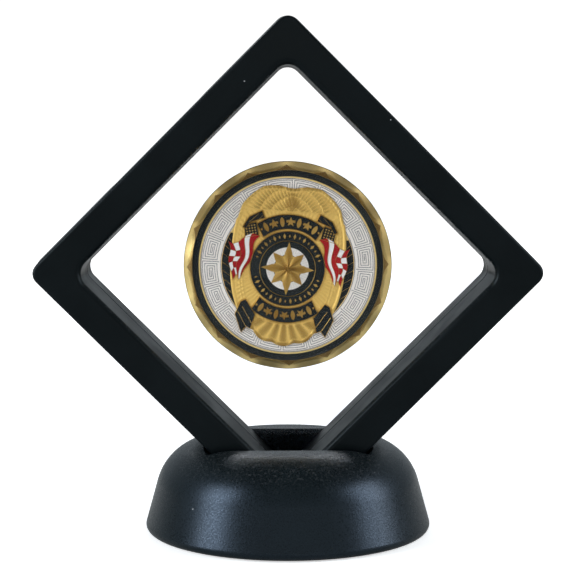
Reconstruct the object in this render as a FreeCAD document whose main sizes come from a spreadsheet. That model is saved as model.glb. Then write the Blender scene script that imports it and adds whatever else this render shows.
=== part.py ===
import FreeCAD, Part
import math
import os
import re

import Sketcher
from FreeCAD import Placement, Rotation, Vector

# Row frame: millimetres, +Z up, X to the right, the display faces -Y.
# Origin: centre of the base's underside.
#
# Frame halves are drawn in a frame of their own, with the square's sides along X and Z, the
# parting plane at y = 0 and the window's front rim at -Y. +X is the hinge side.

DIMENSIONS = (
    ("frame_side", 70.0, "square frame across its flats, at the parting plane"),
    ("frame_face", 69.0, "square frame across its flats, at the outer face"),
    ("half_depth", 10.0, "depth of one frame half"),
    ("window_mid", 56.0, "window across its flats, at the parting plane"),
    ("window_face", 56.7, "window across its flats, at the outer face"),
    ("corner_radius", 2.8, "rounding of the outer corners"),
    ("window_radius", 2.6, "rounding of the window corners"),
    ("seam_width", 0.35, "open seam between the window walls, into the wall"),
    ("seam_height", 0.15, "open seam, in each half below the film"),
    ("cut_past", 1.0, "run of a through cut past the part"),
    ("outer_edge_radius", 0.6, "rounding of the face's outer edge"),
    ("inner_edge_radius", 1.2, "rounding of the face's window edge"),
    ("outer_wall", 1.6, "outer wall of a frame half"),
    ("inner_wall", 1.5, "window wall of a frame half"),
    ("face_wall", 1.6, "face of a frame half"),
    ("ring_corner_radius", 1.8, "rounding of the film ring's corners"),
    ("channel_gap", 0.1, "room outside the ring in its channel"),
    ("channel_outer_radius", 1.4, "rounding of the channel's outer corners"),
    ("channel_inner_radius", 3.6, "rounding of the channel's inner corners"),
    ("film_seat_step", 0.2, "step that a film's edge is bonded to"),
    ("film_thickness", 0.12, "clear elastic film"),
    ("film_gap", 0.05, "room between a film and the coin's rim"),
    ("film_square", 27.9, "half side of the square where a film starts to lean"),
    ("film_reach", 31.4, "half side of a film's bonded border"),
    ("film_lap", 0.6, "overlap of a film's border and its slope"),
    ("ring_inner", 29.6, "half side inside a film ring"),
    ("ring_outer", 31.6, "half side outside a film ring"),
    ("ring_height", 4.0, "height of a film ring"),
    ("hinge_inset", 1.6, "hinge axis inside the outer wall's parting edge"),
    ("hinge_open", 110.0, "opening angle of the hinge, in degrees"),
    ("relief_width", 3.0, "groove cut beyond the hinge axis, which lets the halves open"),
    ("knuckle_radius", 1.5, "hinge knuckle"),
    ("knuckle_clearance", 0.15, "room around a knuckle in the other half"),
    ("knuckle_gap", 0.1, "gap between neighbouring knuckles"),
    ("knuckle_middle", 4.0, "length of the front half's knuckle"),
    ("knuckle_end", 3.0, "length of each knuckle of the rear half"),
    ("knuckle_spacing", 22.0, "knuckle sets above and below the middle of the side"),
    ("web_depth", 4.5, "depth of the web that carries a knuckle"),
    ("pin_radius", 0.5, "hinge pin"),
    ("pin_clearance", 0.05, "running clearance of the pin in the front half's knuckle"),
    ("tongue_length", 12.0, "closing tongue along the side"),
    ("tongue_thickness", 1.2, "closing tongue"),
    ("tongue_reach", 2.5, "closing tongue beyond the parting plane"),
    ("tongue_bond", 0.2, "depth that the tongue's rib runs into the wall"),
    ("tongue_rib_top", 1.5, "top of the tongue's rib below the parting plane"),
    ("tongue_clearance", 0.15, "room between the tongue and the rear half's wall"),
    ("scoop_length", 26.0, "thumb scoop along the opening side"),
    ("scoop_depth", 0.6, "thumb scoop into the outer wall"),
    ("scoop_height", 3.0, "thumb scoop away from the parting plane"),
    ("base_radius", 27.9, "base where its side meets the table line"),
    ("base_top_radius", 23.15, "base where its side line meets its top"),
    ("base_height", 17.5, "top of the base above the table"),
    ("base_foot", 0.2, "gap under the base's rim"),
    ("base_shoulder", 10.5, "rounding between the base's side and top"),
    ("base_edge_radius", 1.2, "rounding of the base's bottom edge"),
    ("base_wall", 2.4, "base shell"),
    ("hollow_lean", 1.2, "narrowing of the base's hollow up to half its height"),
    ("hollow_shoulder", 3.2, "hollow beyond the start of the shoulder, at its ceiling"),
    ("pad_radius", 25.0, "non-slip pad"),
    ("pad_thickness", 1.0, "non-slip pad"),
    ("pad_clearance", 0.1, "room around the pad"),
    ("pad_ledge", 1.6, "ledge that the pad is bonded to"),
    ("slot_half_width", 11.0, "slot across the base, front to back"),
    ("slot_wall", 1.5, "wall around the slot"),
    ("slot_bond", 0.4, "height that the slot's walls run into the top"),
    ("slot_clearance", 0.05, "room between the frame's lower sides and the slot's slopes"),
    ("slot_floor", 2.15, "slot's floor above the table"),
    ("slot_edge_radius", 0.8, "rounding of the slot's mouth"),
    ("frame_centre", 50.6, "centre of the window above the table"),
    ("frame_back", 0.6, "parting plane behind the middle of the base"),
    ("coin_radius", 20.0, "coin"),
    ("coin_thickness", 3.0, "coin over its rim"),
    ("coin_turn", 4.0, "coin turned clockwise in its films, in degrees"),
    ("coin_lift", 0.75, "coin's centre above the window's centre"),
    ("field_depth", 0.4, "coin's field below its rim"),
    ("rim_inner", 18.3, "inner radius of the rim"),
    ("ridge_rise", 0.05, "thin ridge above the inlays"),
    ("facet_past", 0.3, "rim cut, past the coin's edge"),
    ("facet_clear", 0.1, "rim cut, above the rim"),
    ("facet_start", 18.75, "radius where a rim facet starts on the rim's top"),
    ("facet_drop", 0.55, "fall of a rim facet at the coin's edge"),
    ("ridge_outer", 17.14, "outer radius of the thin ridge"),
    ("ridge_inner", 16.8, "inner radius of the thin ridge"),
    ("key_inner", 12.8, "inner radius of the key pattern band"),
    ("inlay_height", 0.2, "enamel and plated bands above the field"),
    ("badge_width", 11.0, "half width of the oval badge"),
    ("badge_height", 15.6, "half height of the oval badge"),
    ("badge_relief", 0.25, "oval badge above the field"),
    ("roundel_outer", 7.2, "outer radius of the middle ring"),
    ("roundel_inner", 5.4, "inner radius of the middle ring"),
    ("banner_outer", 10.4, "outer radius of the ribbons"),
    ("banner_half_angle", 42.0, "half of a ribbon's spread, in degrees"),
    ("top_relief", 0.13, "parts that lie on the badge"),
    ("inlay_gap", 0.1, "gap between parts that lie on the badge"),
    ("star_reach", 5.1, "star's points from its middle"),
    ("star_valley", 2.7, "star's valleys from its middle"),
    ("drape_inner", 6.6, "drape's edge nearest to the middle"),
    ("drape_stripe", 0.9, "width of a drape's stripe"),
    ("drape_length", 5.6, "length of a drape's stripe"),
    ("drape_slope", 1.6, "fall of a stripe over its length"),
)
FACETS = 16
STRIPES = 6
STAR_POINTS = 8
NEAR = 0.02
SLIVER = 0.01

SHEET = "dims"
ALIAS = re.compile(r"\b(" + "|".join(name for name, _, _ in DIMENSIONS) + r")\b")


def make_sheet(doc):
    """Spreadsheet with one row for each driving dimension."""
    sheet = doc.addObject("Spreadsheet::Sheet", SHEET)
    for row, (name, value, note) in enumerate(DIMENSIONS, start=1):
        sheet.set("A%d" % row, note)
        sheet.set("B%d" % row, str(value))
        sheet.setAlias("B%d" % row, name)
    doc.recompute()
    return sheet


def bound(text):
    """The expression with the sheet's name before each alias."""
    return ALIAS.sub(SHEET + r".\1", text)


def number(sheet, text):
    """The value of an expression over the sheet's aliases."""
    value = sheet.evalExpression(bound(text))
    return float(getattr(value, "Value", value))


class Drawing:
    """Helpers that draw sub-parts whose sizes follow the sheet."""

    def __init__(self, doc, sheet):
        self.doc = doc
        self.sheet = sheet

    def value(self, text):
        return number(self.sheet, text)

    def body(self, label, placement):
        body = self.doc.addObject("PartDesign::Body", label)
        body.Label = label
        body.Placement = placement
        return body

    def sketch(self, body, name, role, offset=None):
        """Sketch on one of the body's origin planes, moved along the plane's normal."""
        plane = next(f for f in body.Origin.OriginFeatures if f.Role == role)
        sketch = body.newObject("Sketcher::SketchObject", body.Label + "_" + name)
        sketch.AttachmentSupport = [(plane, "")]
        sketch.MapMode = "FlatFace"
        if offset:
            sketch.setExpression("AttachmentOffset.Base.z", bound(offset))
        return sketch

    def pin_point(self, sketch, index, point, x_text, z_text):
        """Fix one point of the sketch's geometry by two expressions."""
        axes = (("DistanceX", x_text, -2), ("DistanceY", z_text, -1))
        for kind, text, axis in axes:
            if abs(self.value(text)) < 1e-9:
                sketch.addConstraint(Sketcher.Constraint("PointOnObject", index, point, axis))
                continue
            number_text = self.value(text)
            place = sketch.addConstraint(
                Sketcher.Constraint(kind, -1, 1, index, point, number_text))
            sketch.setExpression("Constraints[%d]" % place, bound(text))

    def polygon(self, sketch, points):
        """Closed outline through points, each a pair of expressions."""
        values = [Vector(self.value(x), self.value(y), 0) for x, y in points]
        first = sketch.GeometryCount
        count = len(points)
        for i in range(count):
            sketch.addGeometry(Part.LineSegment(values[i], values[(i + 1) % count]), False)
        for i in range(count):
            follower = first + (i + 1) % count
            sketch.addConstraint(Sketcher.Constraint("Coincident", first + i, 2, follower, 1))
        for i, (x_text, y_text) in enumerate(points):
            self.pin_point(sketch, first + i, 1, x_text, y_text)

    def circle(self, sketch, radius, x_text="0", y_text="0"):
        centre = Vector(self.value(x_text), self.value(y_text), 0)
        index = sketch.addGeometry(
            Part.Circle(centre, Vector(0, 0, 1), self.value(radius)), False)
        place = sketch.addConstraint(
            Sketcher.Constraint("Radius", index, self.value(radius)))
        sketch.setExpression("Constraints[%d]" % place, bound(radius))
        self.pin_point(sketch, index, 3, x_text, y_text)
        return index

    def rounded_square(self, sketch, half_side, radius):
        """Square about the origin with rounded corners."""
        half = self.value(half_side)
        r = self.value(radius)
        first = sketch.GeometryCount
        flat = half - r
        ends = [((-flat, half), (flat, half)), ((half, flat), (half, -flat)),
                ((flat, -half), (-flat, -half)), ((-half, -flat), (-half, flat))]
        for (x0, y0), (x1, y1) in ends:
            sketch.addGeometry(Part.LineSegment(Vector(x0, y0, 0), Vector(x1, y1, 0)), False)
        centres = [(flat, flat), (flat, -flat), (-flat, -flat), (-flat, flat)]
        starts = [0, -math.pi / 2, math.pi, math.pi / 2]
        for (cx, cy), start in zip(centres, starts):
            corner = Part.Circle(Vector(cx, cy, 0), Vector(0, 0, 1), r)
            sketch.addGeometry(Part.ArcOfCircle(corner, start, start + math.pi / 2), False)
        for i in range(4):
            line, arc, follower = first + i, first + 4 + i, first + (i + 1) % 4
            sketch.addConstraint(Sketcher.Constraint("Tangent", line, 2, arc, 2))
            sketch.addConstraint(Sketcher.Constraint("Tangent", arc, 1, follower, 1))
        sketch.addConstraint(Sketcher.Constraint("Horizontal", first))
        sketch.addConstraint(Sketcher.Constraint("Horizontal", first + 2))
        sketch.addConstraint(Sketcher.Constraint("Vertical", first + 1))
        sketch.addConstraint(Sketcher.Constraint("Vertical", first + 3))
        for i in range(3):
            sketch.addConstraint(Sketcher.Constraint("Equal", first + 4, first + 5 + i))
        sizes = (
            (Sketcher.Constraint("Radius", first + 4, r), radius),
            (Sketcher.Constraint("DistanceY", -1, 1, first, 1, half), half_side),
            (Sketcher.Constraint("DistanceX", -1, 1, first + 1, 1, half), half_side),
            (Sketcher.Constraint("DistanceY", first + 2, 1, -1, 1, half), half_side),
            (Sketcher.Constraint("DistanceX", first + 3, 1, -1, 1, half), half_side),
        )
        for constraint, text in sizes:
            place = sketch.addConstraint(constraint)
            sketch.setExpression("Constraints[%d]" % place, bound(text))

    def extrude(self, body, kind, sketch, length, reverse=False, both=False, taper=None):
        """Pad or Pocket of a sketch."""
        feature = body.newObject("PartDesign::" + kind, sketch.Name + "_" + kind)
        feature.Profile = sketch
        feature.setExpression("Length", bound(length))
        feature.Reversed = reverse
        feature.Midplane = both
        if taper:
            feature.setExpression("TaperAngle", bound(taper))
        sketch.Visibility = False
        self.doc.recompute()
        return feature

    def turn(self, body, kind, sketch, axis):
        """Revolution or Groove about one of the sketch's axes."""
        feature = body.newObject("PartDesign::" + kind, sketch.Name + "_" + kind)
        feature.Profile = sketch
        feature.ReferenceAxis = (sketch, [axis])
        feature.Angle = 360.0
        self.doc.recompute()
        return feature

    def round_edges(self, body, name, feature, radius, choose):
        """Fillet of the edges that choose accepts, in the body's own frame."""
        names = []
        for i, edge in enumerate(feature.Shape.Edges, start=1):
            if choose(edge):
                names.append("Edge%d" % i)
        fillet = body.newObject("PartDesign::Fillet", body.Label + "_" + name)
        fillet.Base = (feature, names)
        fillet.setExpression("Radius", bound(radius))
        self.doc.recompute()
        return fillet


def on_plane(edge, axis, level):
    """True where the edge lies at one level of an axis."""
    box = edge.BoundBox
    low = getattr(box, axis + "Min")
    high = getattr(box, axis + "Max")
    return abs(low - level) < NEAR and abs(high - level) < NEAR


def reach(edge):
    """Largest distance of the edge from the body's Y axis, along X or Z."""
    box = edge.BoundBox
    return max(abs(box.XMin), abs(box.XMax), abs(box.ZMin), abs(box.ZMax))


def display_placement(draw, turn_degrees):
    """Placement at the window's centre, turned about the front to back axis."""
    middle = Vector(0, draw.value("frame_back"), draw.value("frame_centre"))
    return Placement(middle, Rotation(Vector(0, 1, 0), turn_degrees))


def front_placement(draw):
    return display_placement(draw, 45)


def rear_placement(draw):
    flip = Placement(Vector(0, 0, 0), Rotation(Vector(1, 0, 0), 180))
    return front_placement(draw) * flip


HINGE_X = "frame_side / 2 - hinge_inset"
CHANNEL_IN = "window_mid / 2 + inner_wall"
CHANNEL_OUT = "frame_side / 2 - outer_wall - channel_gap"


def frame_half(draw, label, placement, ears, notches):
    """One moulded half: a channel ring with its hinge knuckles on the +X side.

    ears are this half's knuckles and notches the other half's, as middle and half length along
    the hinge, each a pair of expressions.
    """
    body = draw.body(label, placement)
    outer = draw.sketch(body, "outer", "XZ_Plane")
    draw.rounded_square(outer, "frame_side / 2", "corner_radius")
    draft = "-atan((frame_side - frame_face) / 2 / half_depth)"
    draw.extrude(body, "Pad", outer, "half_depth", taper=draft)

    window = draw.sketch(body, "window", "XZ_Plane")
    draw.rounded_square(window, "window_mid / 2", "window_radius")
    draft = "atan((window_face - window_mid) / 2 / half_depth)"
    cut = draw.extrude(body, "Pocket", window, "half_depth + cut_past", reverse=True,
                       taper=draft)

    face = -draw.value("half_depth")
    middle = draw.value("(frame_face + window_face) / 4")
    edge_sets = (
        ("outer_edge", "outer_edge_radius", lambda e: reach(e) > middle),
        ("window_edge", "inner_edge_radius", lambda e: reach(e) < middle),
    )
    for name, radius, side in edge_sets:
        cut = draw.round_edges(body, name, cut, radius,
                               lambda e, side=side: on_plane(e, "Y", face) and side(e))

    channel = draw.sketch(body, "channel", "XZ_Plane")
    draw.rounded_square(channel, CHANNEL_OUT, "channel_outer_radius")
    draw.rounded_square(channel, CHANNEL_IN, "channel_inner_radius")
    draw.extrude(body, "Pocket", channel, "half_depth - face_wall", reverse=True)

    seat = draw.sketch(body, "film_seat", "XZ_Plane")
    draw.rounded_square(seat, CHANNEL_IN + " + film_seat_step",
                        "channel_inner_radius + film_seat_step")
    draw.extrude(body, "Pocket", seat, "film_thickness", reverse=True)

    seam = draw.sketch(body, "seam", "XZ_Plane")
    draw.rounded_square(seam, "window_mid / 2 + seam_width", "window_radius + seam_width")
    draw.extrude(body, "Pocket", seam, "film_thickness + seam_height", reverse=True)

    add_hinge_side(draw, body, ears, notches)
    add_scoop(draw, body)
    return body


def add_hinge_side(draw, body, ears, notches):
    """Relief groove, knuckles, notches and pin bore along the hinge side."""
    relief = draw.sketch(body, "relief", "XY_Plane")
    far = HINGE_X + " + relief_width"
    drop = "-relief_width * tan(hinge_open / 2)"
    draw.polygon(relief, ((HINGE_X, "0"), (far, "0"), (far, drop)))
    draw.extrude(body, "Pocket", relief, "frame_side + 2 * cut_past", both=True)

    for i, (middle, half) in enumerate(notches):
        notch = draw.sketch(body, "notch_%d" % i, "XY_Plane", middle)
        draw.circle(notch, "knuckle_radius + knuckle_clearance", HINGE_X)
        draw.extrude(body, "Pocket", notch, "2 * (%s)" % half, both=True)
    for i, (middle, half) in enumerate(ears):
        web = draw.sketch(body, "web_%d" % i, "XY_Plane", middle)
        near = HINGE_X + " - knuckle_radius"
        draw.polygon(web, ((near, "0"), (HINGE_X, "0"),
                           (HINGE_X, "-web_depth"), (near, "-web_depth")))
        draw.extrude(body, "Pad", web, "2 * (%s)" % half, both=True)
        ear = draw.sketch(body, "ear_%d" % i, "XY_Plane", middle)
        draw.circle(ear, "knuckle_radius", HINGE_X)
        draw.extrude(body, "Pad", ear, "2 * (%s)" % half, both=True)


def add_bores(draw, body, radius, half_length):
    """Pin bores through the knuckles of both hinge sets."""
    for i, sign in enumerate(("-", "")):
        bore = draw.sketch(body, "bore_%d" % i, "XY_Plane", sign + "knuckle_spacing")
        draw.circle(bore, radius, HINGE_X)
        draw.extrude(body, "Pocket", bore, "2 * (%s)" % half_length, both=True)


def add_scoop(draw, body):
    """Shallow thumb scoop in the outer wall of the opening side."""
    scoop = draw.sketch(body, "scoop", "XZ_Plane")
    half = draw.value("scoop_length / 2")
    depth = draw.value("scoop_depth")
    edge = -draw.value("frame_side / 2")
    radius = (half ** 2 + depth ** 2) / (2 * depth)
    spread = math.asin(half / radius)
    circle = Part.Circle(Vector(edge + depth - radius, 0, 0), Vector(0, 0, 1), radius)
    scoop.addGeometry(Part.ArcOfCircle(circle, -spread, spread), False)
    scoop.addGeometry(Part.LineSegment(Vector(edge, half, 0), Vector(edge, -half, 0)), False)
    scoop.addConstraint(Sketcher.Constraint("Coincident", 0, 2, 1, 1))
    scoop.addConstraint(Sketcher.Constraint("Coincident", 0, 1, 1, 2))
    draw.pin_point(scoop, 1, 1, "-frame_side / 2", "scoop_length / 2")
    draw.pin_point(scoop, 1, 2, "-frame_side / 2", "-scoop_length / 2")
    text = "(scoop_length ^ 2 / 4 + scoop_depth ^ 2) / (2 * scoop_depth)"
    place = scoop.addConstraint(Sketcher.Constraint("Radius", 0, radius))
    scoop.setExpression("Constraints[%d]" % place, bound(text))
    draw.extrude(body, "Pocket", scoop, "scoop_height", reverse=True)


def front_ears():
    """The front half's knuckle of each hinge set."""
    half = "knuckle_middle / 2"
    return [("-knuckle_spacing", half), ("knuckle_spacing", half)]


def rear_ears():
    """The rear half's two knuckles of each hinge set."""
    reach_text = "knuckle_middle / 2 + knuckle_gap + knuckle_end / 2"
    ears = []
    for sign in ("-", ""):
        for side in (" - ", " + "):
            middle = sign + "knuckle_spacing" + side + "(" + reach_text + ")"
            ears.append((middle, "knuckle_end / 2"))
    return ears


def notches_for(ears):
    """Room along the hinge for the other half's knuckles."""
    return [(middle, half + " + knuckle_gap") for middle, half in ears]


def front_frame(draw):
    """Front half, with the closing tongue on its opening side."""
    body = frame_half(draw, "front_frame", front_placement(draw), front_ears(),
                      notches_for(rear_ears()))
    add_bores(draw, body, "pin_radius + pin_clearance", "knuckle_middle / 2 + knuckle_gap")
    tongue = draw.sketch(body, "tongue", "XY_Plane")
    outside = "-(%s - tongue_clearance)" % CHANNEL_OUT
    inside = outside + " + tongue_thickness"
    root = "-(half_depth - face_wall)"
    draw.polygon(tongue, ((outside, root), (inside, root), (inside, "tongue_reach"),
                          (outside, "tongue_reach")))
    draw.extrude(body, "Pad", tongue, "tongue_length", both=True)
    rib = draw.sketch(body, "tongue_rib", "XY_Plane")
    wall = "-(%s + tongue_bond)" % CHANNEL_OUT
    rib_top = "-tongue_rib_top"
    draw.polygon(rib, ((wall, root), (inside, root), (inside, rib_top), (wall, rib_top)))
    draw.extrude(body, "Pad", rib, "tongue_length", both=True)
    return body


def rear_frame(draw):
    """Rear half, in which the pins are held."""
    body = frame_half(draw, "rear_frame", rear_placement(draw), rear_ears(),
                      notches_for(front_ears()))
    add_bores(draw, body, "pin_radius",
              "knuckle_middle / 2 + knuckle_gap + knuckle_end")
    return body


def film_ring(draw, label, placement):
    """Square ring pressed into a half's channel, which keeps its film tight."""
    body = draw.body(label, placement)
    outline = draw.sketch(body, "outline", "XZ_Plane", "film_thickness")
    draw.rounded_square(outline, "ring_outer", "ring_corner_radius")
    draw.rounded_square(outline, "ring_inner", "window_radius")
    draw.extrude(body, "Pad", outline, "ring_height")
    return body


def square_wire(half, y):
    corners = [Vector(-half, y, half), Vector(half, y, half), Vector(half, y, -half),
               Vector(-half, y, -half)]
    return Part.makePolygon(corners + corners[:1])


def circle_wire(radius, centre):
    """Circle as four arcs whose ends face the corners of a square."""
    edges = []
    for quarter in range(4):
        start = math.radians(135 - 90 * quarter)
        points = []
        for part in (0, 0.5, 1):
            angle = start - part * math.pi / 2
            points.append(centre + Vector(radius * math.cos(angle), 0,
                                          radius * math.sin(angle)))
        edges.append(Part.Arc(*points).toShape())
    return Part.Wire(edges)


def film(draw, label, placement):
    """Clear film: a bonded square border, then a slope up to the coin and a flat over it."""
    thickness = draw.value("film_thickness")
    top = draw.value("coin_thickness / 2 + film_gap") + thickness
    lift = Vector(0, 0, draw.value("coin_lift"))
    over_coin = placement.Rotation.inverted().multVec(lift) + Vector(0, -top, 0)
    slope = Part.makeLoft([square_wire(draw.value("film_square"), 0),
                           circle_wire(draw.value("coin_radius + film_gap"), over_coin)],
                          True, True)
    under = slope.copy()
    under.translate(Vector(0, thickness, 0))
    reach_out = draw.value("film_reach")
    hole = draw.value("film_square - film_lap")
    border = Part.makeBox(2 * reach_out, thickness, 2 * reach_out,
                          Vector(-reach_out, -thickness, -reach_out))
    border = border.cut(Part.makeBox(2 * hole, 2 * thickness, 2 * hole,
                                     Vector(-hole, -1.5 * thickness, -hole)))
    shape = slope.cut(under).fuse(border).removeSplitter()
    feature = draw.doc.addObject("Part::Feature", label)
    feature.Label = label
    feature.Shape = shape.Solids[0] if shape.Solids else shape
    feature.Placement = placement
    return feature


def hinge_pin(draw, label, sign):
    """Pin of one hinge set."""
    pin = draw.doc.addObject("Part::Cylinder", label)
    pin.Label = label
    pin.setExpression("Radius", bound("pin_radius"))
    pin.setExpression("Height", bound("knuckle_middle + 2 * (knuckle_gap + knuckle_end)"))
    foot = sign * draw.value("knuckle_spacing")
    foot -= draw.value("knuckle_middle / 2 + knuckle_gap + knuckle_end")
    local = Placement(Vector(draw.value(HINGE_X), 0, foot), Rotation())
    pin.Placement = front_placement(draw) * local
    return pin


def base_shell(draw):
    """Round base: a domed shell with the slot's walls hanging inside it."""
    body = draw.body("base_shell", Placement())
    profile = draw.sketch(body, "dome", "XZ_Plane")
    draw.polygon(profile, (("0", "base_foot"), ("base_radius", "base_foot"),
                           ("base_top_radius", "base_height"), ("0", "base_height")))
    solid = draw.turn(body, "Revolution", profile, "V_Axis")
    top = draw.value("base_height")
    foot = draw.value("base_foot")
    solid = draw.round_edges(body, "shoulder", solid, "base_shoulder",
                             lambda e: on_plane(e, "Z", top))
    solid = draw.round_edges(body, "bottom_edge", solid, "base_edge_radius",
                             lambda e: on_plane(e, "Z", foot))

    hollow = draw.sketch(body, "hollow", "XZ_Plane")
    ceiling = "base_height - base_wall"
    draw.polygon(hollow, (("0", "0"), ("pad_radius + pad_clearance", "0"),
                          ("pad_radius + pad_clearance", "pad_thickness"),
                          ("pad_radius - pad_ledge", "pad_thickness"),
                          ("pad_radius - pad_ledge - hollow_lean", "base_height / 2"),
                          ("base_top_radius - base_shoulder + hollow_shoulder", ceiling),
                          ("0", ceiling)))
    draw.turn(body, "Groove", hollow, "V_Axis")

    slope_foot = "frame_centre - frame_side / 2 * sqrt(2) - slot_clearance * sqrt(2)"
    walls = draw.sketch(body, "slot_walls", "XZ_Plane")
    spread = "slot_wall * sqrt(2)"
    high = "base_height - base_wall + slot_bond"
    top_x = "%s - (%s) + %s" % (high, slope_foot, spread)
    low_x = "pad_thickness - (%s) + %s" % (slope_foot, spread)
    draw.polygon(walls, (("-(%s)" % low_x, "pad_thickness"), (low_x, "pad_thickness"),
                         (top_x, high), ("-(%s)" % top_x, high)))
    draw.extrude(body, "Pad", walls, "2 * (slot_half_width + slot_wall)", both=True)

    slot = draw.sketch(body, "slot", "XZ_Plane")
    lip = "base_height + cut_past"
    lip_x = "%s - (%s)" % (lip, slope_foot)
    floor_x = "slot_floor - (%s)" % slope_foot
    draw.polygon(slot, (("-(%s)" % floor_x, "slot_floor"), (floor_x, "slot_floor"),
                        (lip_x, lip), ("-(%s)" % lip_x, lip)))
    cut = draw.extrude(body, "Pocket", slot, "2 * slot_half_width", both=True)
    mouth = draw.value("slot_half_width") + NEAR
    inside_rim = draw.value("base_top_radius - slot_wall")
    draw.round_edges(body, "slot_mouth", cut, "slot_edge_radius",
                     lambda e: on_plane(e, "Z", top) and reach(e) < inside_rim
                     and max(abs(e.BoundBox.YMin), abs(e.BoundBox.YMax)) < mouth)
    return body


def base_pad(draw):
    """Non-slip foam disc bonded in the base's underside."""
    pad = draw.doc.addObject("Part::Cylinder", "base_pad")
    pad.Label = "base_pad"
    pad.setExpression("Radius", bound("pad_radius"))
    pad.setExpression("Height", bound("pad_thickness"))
    return pad


def coin_placement(draw):
    """Placement of the coin's centre, a little above the window's."""
    place = display_placement(draw, draw.value("coin_turn"))
    place.Base = place.Base + Vector(0, 0, draw.value("coin_lift"))
    return place


FIELD = "coin_thickness / 2 - field_depth"


def coin_blank(draw):
    """Struck coin: raised rim cut with facets, recessed fields, thin ridge."""
    body = draw.body("coin_blank", coin_placement(draw))
    section = draw.sketch(body, "section", "XY_Plane")
    rim = "coin_thickness / 2"
    ridge = FIELD + " + inlay_height + ridge_rise"
    draw.polygon(section, (
        ("0", "-(%s)" % FIELD), ("ridge_inner", "-(%s)" % FIELD),
        ("ridge_inner", "-(%s)" % ridge), ("ridge_outer", "-(%s)" % ridge),
        ("ridge_outer", "-(%s)" % FIELD), ("rim_inner", "-(%s)" % FIELD),
        ("rim_inner", "-" + rim), ("coin_radius", "-" + rim), ("coin_radius", rim),
        ("rim_inner", rim), ("rim_inner", FIELD), ("0", FIELD)))
    draw.turn(body, "Revolution", section, "V_Axis")
    facet = draw.sketch(body, "facet", "XY_Plane")
    past = "coin_radius + facet_past"
    low = "coin_thickness / 2 - facet_drop"
    high = "coin_thickness / 2 + facet_clear"
    for sign in ("-", ""):
        draw.polygon(facet, (("facet_start", sign + "(%s)" % rim),
                             (past, sign + "(%s)" % low), (past, sign + "(%s)" % high),
                             ("facet_start", sign + "(%s)" % high)))
    cut = draw.extrude(body, "Pocket", facet, "coin_radius", both=True)
    pattern = body.newObject("PartDesign::PolarPattern", "rim_facets")
    pattern.Originals = [cut]
    pattern.Axis = (section, ["V_Axis"])
    pattern.Angle = 360.0
    pattern.Occurrences = FACETS
    body.Tip = pattern
    draw.doc.recompute()
    return body


def annulus(draw, label, outer, inner, base, height):
    """Flat ring on the coin's front, base and height measured toward the front."""
    body = draw.body(label, coin_placement(draw))
    outline = draw.sketch(body, "outline", "XZ_Plane", base)
    draw.circle(outline, outer)
    draw.circle(outline, inner)
    draw.extrude(body, "Pad", outline, height)
    return body


def badge_shape(draw, grow=0.0):
    """Oval outline of the badge as a solid, from the field to the badge's top."""
    field = -draw.value(FIELD)
    top = Vector(0, field, draw.value("badge_height") + grow)
    side = Vector(draw.value("badge_width") + grow, field, 0)
    oval = Part.Ellipse(top, side, Vector(0, field, 0))
    face = Part.Face(Part.Wire(oval.toShape()))
    return face.extrude(Vector(0, -draw.value("badge_relief"), 0))


def coin_feature(draw, label, shape):
    """Sub-part of the coin from a shape in the coin's own frame."""
    feature = draw.doc.addObject("Part::Feature", label)
    feature.Label = label
    feature.Shape = shape
    feature.Placement = coin_placement(draw)
    return feature


def badge_relief(draw):
    """Oval badge struck up from the field."""
    return coin_feature(draw, "badge_relief", badge_shape(draw))


def disc(draw, radius, base, height):
    return Part.makeCylinder(radius, height, Vector(0, -base, 0), Vector(0, -1, 0))


def key_ring(draw):
    """Silver toned band, interrupted where the badge crosses it."""
    base = draw.value(FIELD)
    height = draw.value("inlay_height")
    band = disc(draw, draw.value("ridge_inner"), base, height)
    band = band.cut(disc(draw, draw.value("key_inner"), base, height))
    band = band.cut(badge_shape(draw))
    return coin_feature(draw, "key_ring", band)


def enamel_wedges(draw):
    """Black fields between the badge and the silver toned band."""
    base = draw.value(FIELD)
    field = disc(draw, draw.value("key_inner"), base, draw.value("inlay_height"))
    field = field.cut(badge_shape(draw))
    return coin_feature(draw, "enamel_wedges", field)


def sector(draw, inner, outer, middle_angle, base, height):
    """Solid of a ring's sector about a middle angle."""
    half = draw.value("banner_half_angle")
    ring = Part.makeCylinder(outer, height, Vector(0, 0, 0), Vector(0, 0, 1), 2 * half)
    ring = ring.cut(Part.makeCylinder(inner, height, Vector(0, 0, 0), Vector(0, 0, 1), 360))
    ring.rotate(Vector(0, 0, 0), Vector(0, 0, 1), middle_angle - half)
    ring.rotate(Vector(0, 0, 0), Vector(1, 0, 0), 90)
    ring.translate(Vector(0, -base, 0))
    return ring


def enamel_banners(draw):
    """Blank black ribbons above and below the middle ring."""
    base = draw.value(FIELD + " + badge_relief")
    inner = draw.value("roundel_outer + inlay_gap")
    outer = draw.value("banner_outer")
    height = draw.value("top_relief")
    parts = [sector(draw, inner, outer, angle, base, height) for angle in (90, 270)]
    return coin_feature(draw, "enamel_banners", Part.makeCompound(parts))


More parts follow.
